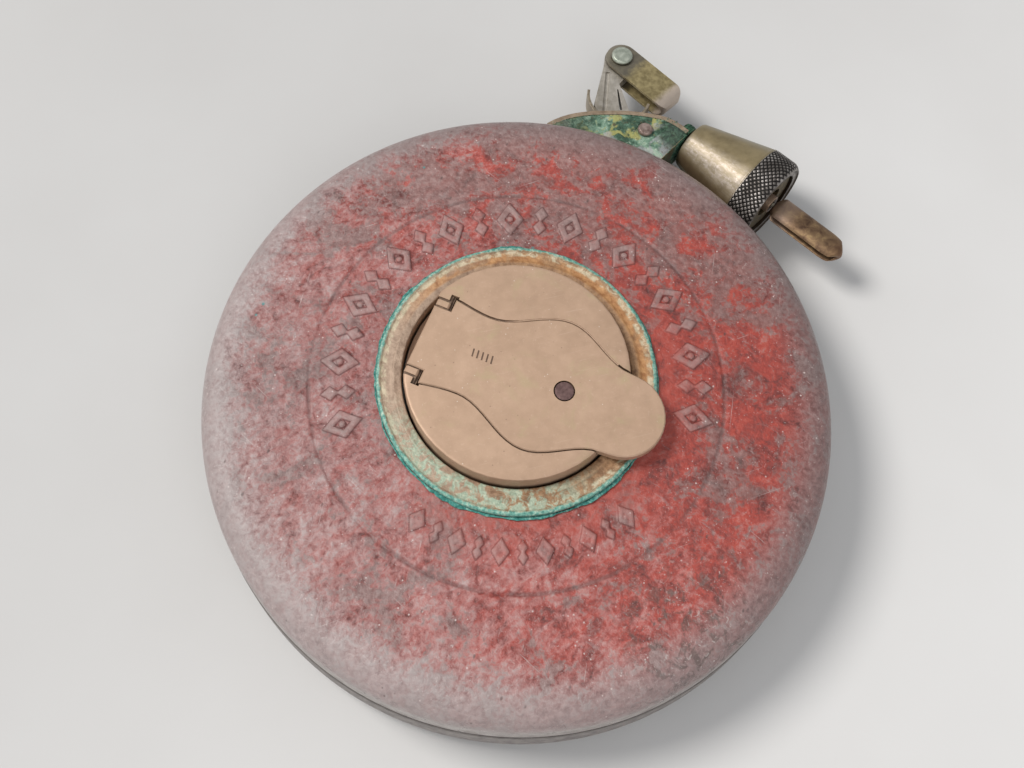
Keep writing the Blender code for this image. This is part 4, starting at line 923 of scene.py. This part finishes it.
def saddle_y(x):
    """Top edge of the mouth, as y against x."""
    if x < 24.0:
        return 65.05 - 2.25 * ((24.0 - x) / 14.0) ** 3.2
    return 65.05 - 1.41 * ((x - 24.0) / 10.0) ** 2 - 0.054 * max(0.0, x - 33.5) ** 2


def cheek_crust(name, side):
    """Lumpy skin over one cheek of the mouth block; side 1 is the upper one."""
    nx, ny = 230, 46
    x0, x1, front = 8.9, 38.9, -12.95
    pin_x, pin_y, pin_clear = 29.7, 59.7, 2.0
    z0 = MID_Z + side * CHEEK_HALF
    points = []
    for x in np.linspace(x0, x1, nx):
        low = math.sqrt(max(0.0, (CASE_R + 0.55) ** 2 - x * x))
        # right of the foot the block ends on the plane square to the spout
        low = max(low, (SPOUT_ALONG[0] * x - front) / -SPOUT_ALONG[1])
        high = max(saddle_y(x) - 1.12 - max(0.0, x - 34.0) * 0.10, low + 0.05)
        points += [(x, low + (high - low) * j / (ny - 1), z0) for j in range(ny)]
    points = np.array(points)
    x, y = points[:, 0], points[:, 1]
    share = np.tile(np.linspace(0, 1, ny), nx)
    inside = (np.clip(np.minimum(share, 1 - share) / 0.10, 0, 1)
              * np.clip((x - x0) / 0.8, 0, 1) * np.clip((x1 - x) / 0.8, 0, 1))
    lump = value_noise(x, y, seed=61, cell=2.2, octaves=4)
    fine = value_noise(x, y, seed=67, cell=0.7)
    height = (0.05 + 0.60 * np.clip(lump - 0.35, 0, 1) + 0.16 * fine) * inside
    height -= 0.06 * (1 - inside)
    # keep the pin head clear
    over_pin = np.hypot(x - pin_x, y - pin_y) < pin_clear
    height = np.where(over_pin, np.minimum(height, 0.02), height)
    points[:, 2] = z0 + side * height
    corners = [i * ny + j for i in range(nx - 1) for j in range(ny - 1)]
    faces = [(a, a + ny, a + ny + 1, a + 1) for a in corners]
    return make(name, points, facing(faces, side), sharp=80)


def boss_crust():
    """Rough crust with broken ridges over the collar that holds the spout."""
    start, end, boss_r, segs = -15.05, -13.02, 3.28, 180
    along, angle = np.meshgrid(np.linspace(start, end, 36), turn_angles(segs), indexing="ij")
    ridge = 0.10 * np.abs(np.sin(math.pi * (along / 0.7 + 0.12 * np.sin(3 * angle))))
    lump = 0.12 * value_noise(angle * 4.5, along, seed=71, cell=0.9, octaves=4)
    ends = np.clip(np.minimum(along - start, end - along) / 0.3, 0, 1)
    radius = boss_r + (0.04 + ridge + lump) * ends
    return make("boss_crust", round_spout(along, radius, angle),
                ring_faces(len(along), segs, closed=False), sharp=80)


OCTAHEDRON = [(-1, 0, 0), (1, 0, 0), (0, -1, 0), (0, 1, 0), (0, 0, -1), (0, 0, 1)]
OCTA_FACES = [(0, 2, 5), (2, 1, 5), (1, 3, 5), (3, 0, 5), (2, 0, 4), (1, 2, 4), (3, 1, 4), (0, 3, 4)]


def crumbs(name, spots, seed, size):
    """Small uneven lumps at given places."""
    random = np.random.default_rng(seed)
    points, faces = [], []
    for spot in spots:
        radius = size * (0.45 + 0.9 * random.random())
        squash = random.uniform(0.5, 1.2, 3)
        faces += [tuple(i + len(points) for i in f) for f in OCTA_FACES]
        for corner in OCTAHEDRON:
            reach = radius * squash * random.uniform(0.75, 1.2)
            points.append(np.array(spot) + np.array(corner) * reach)
    obj = make(name, points, faces, sharp=180)
    mod = obj.modifiers.new("soft", "SUBSURF")
    mod.levels = mod.render_levels = 1
    return obj


def rim_spots(random):
    """Places where the upper cheek meets the case."""
    spots = []
    for _ in range(80):
        x = random.uniform(8.8, 33.5)
        y = math.sqrt((CASE_R + 0.5) ** 2 - x * x) + random.uniform(-0.05, 0.35)
        spots.append((x, y, 15.75 + random.uniform(-0.1, 0.1)))
    return spots


def saddle_spots(random):
    """Places along the saddle edge, its right end and the end plane of the block."""
    spots = []
    for _ in range(60):
        x = random.uniform(9.0, 38.6)
        y = saddle_y(x) - 1.1 - random.uniform(0, 0.25)
        spots.append((x, y, 15.8 + random.uniform(-0.1, 0.15)))
    for _ in range(34):
        x = random.uniform(33.0, 39.2)
        y = saddle_y(x) - random.uniform(-0.15, 0.9)
        spots.append((x, y, 15.75 + random.uniform(-0.15, 0.2)))
    for _ in range(26):
        out = random.uniform(62.0, 70.2)
        edge = SPOUT_ALONG * (-12.85 + random.uniform(-0.25, 0.05)) + SPOUT_OUT * out
        spots.append((edge[0], edge[1], 15.6 + random.uniform(-0.25, 0.2)))
    return spots


# ============================================== grease and marks at the handle
# place along the handle, half width
HANDLE_STATIONS = ((-19.0, 9.3), (-8.2, 8.05), (6.3, 13.1), (20.0, 8.0))


def handle_half(along):
    """Half width of the handle, eased between the stations."""
    for (start, first), (end, second) in zip(HANDLE_STATIONS, HANDLE_STATIONS[1:]):
        if along <= end:
            share = max(0.0, (along - start) / (end - start))
            return first + (second - first) * (0.5 - 0.5 * math.cos(math.pi * share))
    return HANDLE_STATIONS[-1][1]


def gap_grime(name, side):
    """Dried grease lying in the narrow gap beside the folded handle, held by the hub."""
    flush_z, depth = 28.03, 1.3
    stations = np.linspace(-14.9, 17.2, 150)
    points = []
    for along in stations:
        width = handle_half(along)
        slope = (handle_half(along + 0.05) - handle_half(along - 0.05)) / 0.1
        normal = np.array([-slope, 1.0]) / math.hypot(slope, 1.0)
        level = 27.62 + 0.42 * (value_noise(along, side * 9.0, seed=91, cell=5.0) - 0.5)
        if side > 0:
            flush = max(0.0, min(1.0, (along + 8.0) / 6.0))
        else:
            flush = 0.55 * max(0.0, min(1.0, (-9.0 - along) / 3.0))
        level += (flush_z - level) * flush
        # section: distance off the handle's edge, z
        section = ((0.03, level - depth), (0.03, level - 0.03), (0.15, level),
                   (0.34, level - 0.02), (0.34, level - depth))
        for off, z in section:
            across = side * (width + normal[1] * off)
            points.append(handle_point(along + normal[0] * off, across, z))
    faces = ring_faces(len(stations), len(section), closed=False)
    return make(name, points, facing(faces, side), sharp=60)


# start and end along the handle, start and end across it, top z
HINGE_BLOCKS = ((-18.98, -16.46, 6.46, 6.76, 27.74), (-18.98, -16.46, 7.84, 8.46, 27.74),
                (-16.50, -16.04, 6.46, 9.58, 27.22), (-16.93, -16.46, 7.84, 9.58, 27.60))
BLOCK_FACES = [(0, 3, 2, 1), (4, 5, 6, 7), (0, 1, 5, 4), (1, 2, 6, 5), (2, 3, 7, 6), (3, 0, 4, 7)]


def hinge_grime(name, side):
    """Grease packed round the hinge lug, kept under the sweep of the handle's root."""
    points, faces = [], []
    for u0, u1, v0, v1, top in HINGE_BLOCKS:
        faces += [tuple(len(points) + i for i in f) for f in BLOCK_FACES]
        for z in (top - 0.9, top):
            for u, v in ((u0, v0), (u1, v0), (u1, v1), (u0, v1)):
                points.append(handle_point(u, side * v, z))
    return make(name, points, facing(faces, side))


def tally_marks():
    """Row of five slanted bars on the handle."""
    half_width, half_length, lean, pitch = 0.14, 0.8, math.radians(8), 0.95
    points, faces = [], []
    for i in range(5):
        o = len(points)
        for du, dv in ((-1, -1), (1, -1), (1, 1), (-1, 1)):
            du, dv = du * half_width, dv * half_length
            along = -8.6 + i * pitch + du * math.cos(lean) - dv * math.sin(lean)
            across = 0.35 + du * math.sin(lean) + dv * math.cos(lean)
            points += [handle_point(along, across, z) for z in (28.02, 28.125)]
        faces += [(o + 1, o + 3, o + 5, o + 7), (o + 6, o + 4, o + 2, o)]
        faces += [(o + k, o + (k + 2) % 8, o + (k + 3) % 8, o + k + 1) for k in (0, 2, 4, 6)]
    return make("tally_marks", points, faces)


# ================================================================== assemble
def show(obj, body, material, slot, *nodes):
    """Give a new piece its material and body, and hide the nodes it stands in for; the slot argument
    is not used.
    """
    obj.data.materials.append(material)
    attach(obj, body)
    if nodes:
        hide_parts(*nodes)


COVER, BACK = cover_look(), back_look()
BRASS = satin_brass()
AGED = aged_brass("aged_brass_part", seed=3.0)
AGED_DARK = aged_brass("mouth_aged_brass", light=(0.33, 0.26, 0.15), dark=(0.10, 0.075, 0.04),
                       green=0.8, seed=9.0, metal=0.5)
COLLAR = collar_look()
TEAL = verdigris("verdigris_crust", deep=(0.020, 0.120, 0.105), body=(0.075, 0.290, 0.250),
                 pale=(0.34, 0.56, 0.48))
MINT = verdigris("mint_crust", deep=(0.03, 0.09, 0.06), body=(0.12, 0.30, 0.21),
                 pale=(0.52, 0.62, 0.50))
DARK_GREEN = verdigris("dark_green_crust", deep=(0.010, 0.030, 0.018),
                       body=(0.030, 0.085, 0.050), pale=(0.13, 0.24, 0.15))
CRUST = crust_look()

show(front_shell(), "case", COVER, "case_cover", "front_shell")
show(back_shell(), "case", BACK, "case_cover", "back_shell")
show(collar(), "case", COLLAR, "aged_brass", "face_collar")
show(collar_crust(), "case", TEAL, "aged_brass")
show(nozzle(), "nozzle", cone_look(), "nickel_silver", "cone_nozzle")
show(end_ring(), "pull_end", bronze("end_ring_bronze"), "bronze", "end_ring")
show(cheek_crust("cheek_crust_front", 1), "case", CRUST, "aged_brass")
show(cheek_crust("cheek_crust_back", -1), "case", CRUST, "aged_brass")
show(boss_crust(), "case", DARK_GREEN, "aged_brass")

scatter = np.random.default_rng(19)
show(crumbs("rim_corner_crumbs", rim_spots(scatter), seed=5, size=0.30),
     "case", MINT, "aged_brass")
show(crumbs("saddle_edge_crumbs", saddle_spots(scatter), seed=6, size=0.26),
     "case", DARK_GREEN, "aged_brass")

STEEL = plain("dull_steel", dark=(0.20, 0.20, 0.20), light=(0.46, 0.45, 0.44))
TIN = plain("tinned_sheet", dark=(0.30, 0.29, 0.27), light=(0.60, 0.59, 0.55))
POST = nickel("post_brushed_nickel", light=(0.47, 0.435, 0.385), dark=(0.25, 0.22, 0.175),
              seed=4.0, grain=(0.12, 1, 0), rough=0.42, grime=0.85)
CRADLE = nickel("cradle_worn_nickel", light=(0.42, 0.36, 0.275), dark=(0.17, 0.13, 0.085),
                seed=8.0, grain=(0, 0, 1), rough=0.38, grime=0.8)
RIVET = plain("rivet_grey_green", dark=(0.30, 0.33, 0.27), light=(0.50, 0.53, 0.45),
              rough=0.42, metal=0.6, scale=0.9, seed=2.0)
PIN = plain("pin_pinkish_brown", dark=(0.22, 0.15, 0.125), light=(0.44, 0.34, 0.30),
            rough=0.42, metal=0.7, scale=0.9, seed=6.0)
KNOB_RIVET = plain("knob_rivet_dark", dark=(0.13, 0.075, 0.070), light=(0.22, 0.135, 0.125),
                   rough=0.42, metal=0.6, scale=1.2, seed=1.0)
SADDLE = aged_brass("saddle_tan_brass", light=(0.40, 0.30, 0.21), dark=(0.19, 0.135, 0.09),
                    green=0.40, seed=15.0, metal=0.3)

# material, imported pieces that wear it
WORN_BY = (
    (BRASS, "hub_disc crank_handle winding_knob drum_core"),
    (plain("thread_dark_brass", dark=(0.035, 0.030, 0.02), light=(0.16, 0.13, 0.08),
           rough=0.5, metal=0.7, scale=1.5), "spout_stub"),
    (SADDLE, "saddle_strip"),
    (AGED_DARK, "mouth_block saddle_rivet_1 saddle_rivet_2 mouth_rivet_1 mouth_rivet_2"),
    (AGED, "back_washer post_rivet leaf_rivet gland_washer core_bush guide_roller"),
    (KNOB_RIVET, "knob_rivet"),
    (plain("plug_dark_brass", dark=(0.05, 0.04, 0.025), light=(0.20, 0.15, 0.08),
           rough=0.5, metal=0.7, scale=1.0), "nozzle_plug"),
    (POST, "bail_post"), (CRADLE, "post_cradle"), (RIVET, "bail_rivet"), (PIN, "roller_pin"),
    (bail_look(), "hanger_bail"),
    (bronze("ferrule_bronze", seed=8.0), "ring_ferrule"),
    (STEEL, "spindle spindle_washer spindle_nut hub_screw_1 hub_screw_2 hub_screw_3 "
            "hinge_pin leaf_spring"),
    (TIN, "rear_flange front_flange seam_hoop"),
    # each length of line has a cord material of its own
    *((cord_look(), name) for name in ("line_coil", "line_run", "line_leader", "line_knot")),
    (plain("drag_felt", dark=(0.10, 0.10, 0.11), light=(0.26, 0.27, 0.29),
           rough=0.95, metal=0.0, scale=2.0), "drag_washer"),
    (plain("wiper_felt", dark=(0.12, 0.12, 0.13), light=(0.30, 0.31, 0.33),
           rough=0.95, metal=0.0, scale=2.0), "felt_wiper"),
)
# width in mm of the eased edges
EASE = {"hub_disc": 0.11, "hanger_bail": 0.20, "bail_post": 0.16, "post_cradle": 0.12,
        "saddle_strip": 0.14, "mouth_block": 0.10, "bail_rivet": 0.08, "roller_pin": 0.06,
        "winding_knob": 0.12}


def dress(name, material):
    """Material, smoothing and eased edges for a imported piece."""
    node = NODES[name]
    node.data.materials.clear()
    node.data.materials.append(material)
    node.data.shade_smooth()
    weld = node.modifiers.new("weld", "WELD")
    weld.merge_threshold = 1e-6
    if name in EASE:
        bevel = node.modifiers.new("ease", "BEVEL")
        bevel.width = EASE[name] * MM
        bevel.segments = 2
        bevel.limit_method = "ANGLE"
        bevel.angle_limit = math.radians(38)
        bevel.use_clamp_overlap = True
    split = node.modifiers.new("edges", "EDGE_SPLIT")
    split.split_angle = math.radians(30 if name == "crank_handle" else 46)
    split.use_edge_sharp = False
    even = node.modifiers.new("even", "WEIGHTED_NORMAL")
    even.keep_sharp = True
    even.weight = 90


for material, names in WORN_BY:
    for name in names.split():
        dress(name, material)

GREASE = grease_look()
for grime in (gap_grime, hinge_grime):
    for letter, side in (("a", 1), ("b", -1)):
        show(grime(f"{grime.__name__}_{letter}", side), "drum", GREASE, "polished_brass")
show(tally_marks(), "handle",
     plain("mark_dark", dark=(0.10, 0.06, 0.04), light=(0.17, 0.105, 0.07), rough=0.6,
           metal=0.3, scale=2.0), "polished_brass")

# ====================================================================== stage
bpy.ops.mesh.primitive_plane_add(size=4.0, location=(0, 0, 0))
table = bpy.context.object
table.name = "table"
table.data.materials.append(table_look())

scene = bpy.context.scene
world = bpy.data.worlds.new("studio")
scene.world = world
world.use_nodes = True
background = world.node_tree.nodes["Background"]
background.inputs["Color"].default_value = (0.93, 0.96, 1.0, 1)
background.inputs["Strength"].default_value = 0.45


def area(name, place, size, power, colour):
    """Round lamp aimed at the middle of the part; metres and watts."""
    light = bpy.data.lights.new(name, "AREA")
    light.shape = "DISK"
    light.size = size
    light.energy = power
    light.color = colour
    obj = bpy.data.objects.new(name, light)
    obj.location = place
    aim = Vector((0, 0, 0.01)) - Vector(place)
    obj.rotation_euler = aim.to_track_quat("-Z", "Y").to_euler()
    scene.collection.objects.link(obj)


area("key", place=(-0.75, 0.22, 1.15), size=0.50, power=13.6, colour=(1.0, 0.975, 0.94))
area("fill", place=(0.15, -0.75, 0.75), size=0.9, power=2.6, colour=(1.0, 0.98, 0.96))

camera = bpy.data.cameras.new("photo_view")
camera.sensor_width = 36.0
camera.lens = 43.9453125
camera.shift_x = 0.0376953125
camera.shift_y = -0.269921875
camera.clip_start = 0.005
camera_obj = bpy.data.objects.new("photo_view", camera)
camera_obj.location = (-0.013074, -0.100286, 0.248182)
camera_obj.rotation_euler = (math.radians(33.49), 0, 0)
scene.collection.objects.link(camera_obj)
scene.camera = camera_obj
scene.view_settings.view_transform = "Standard"
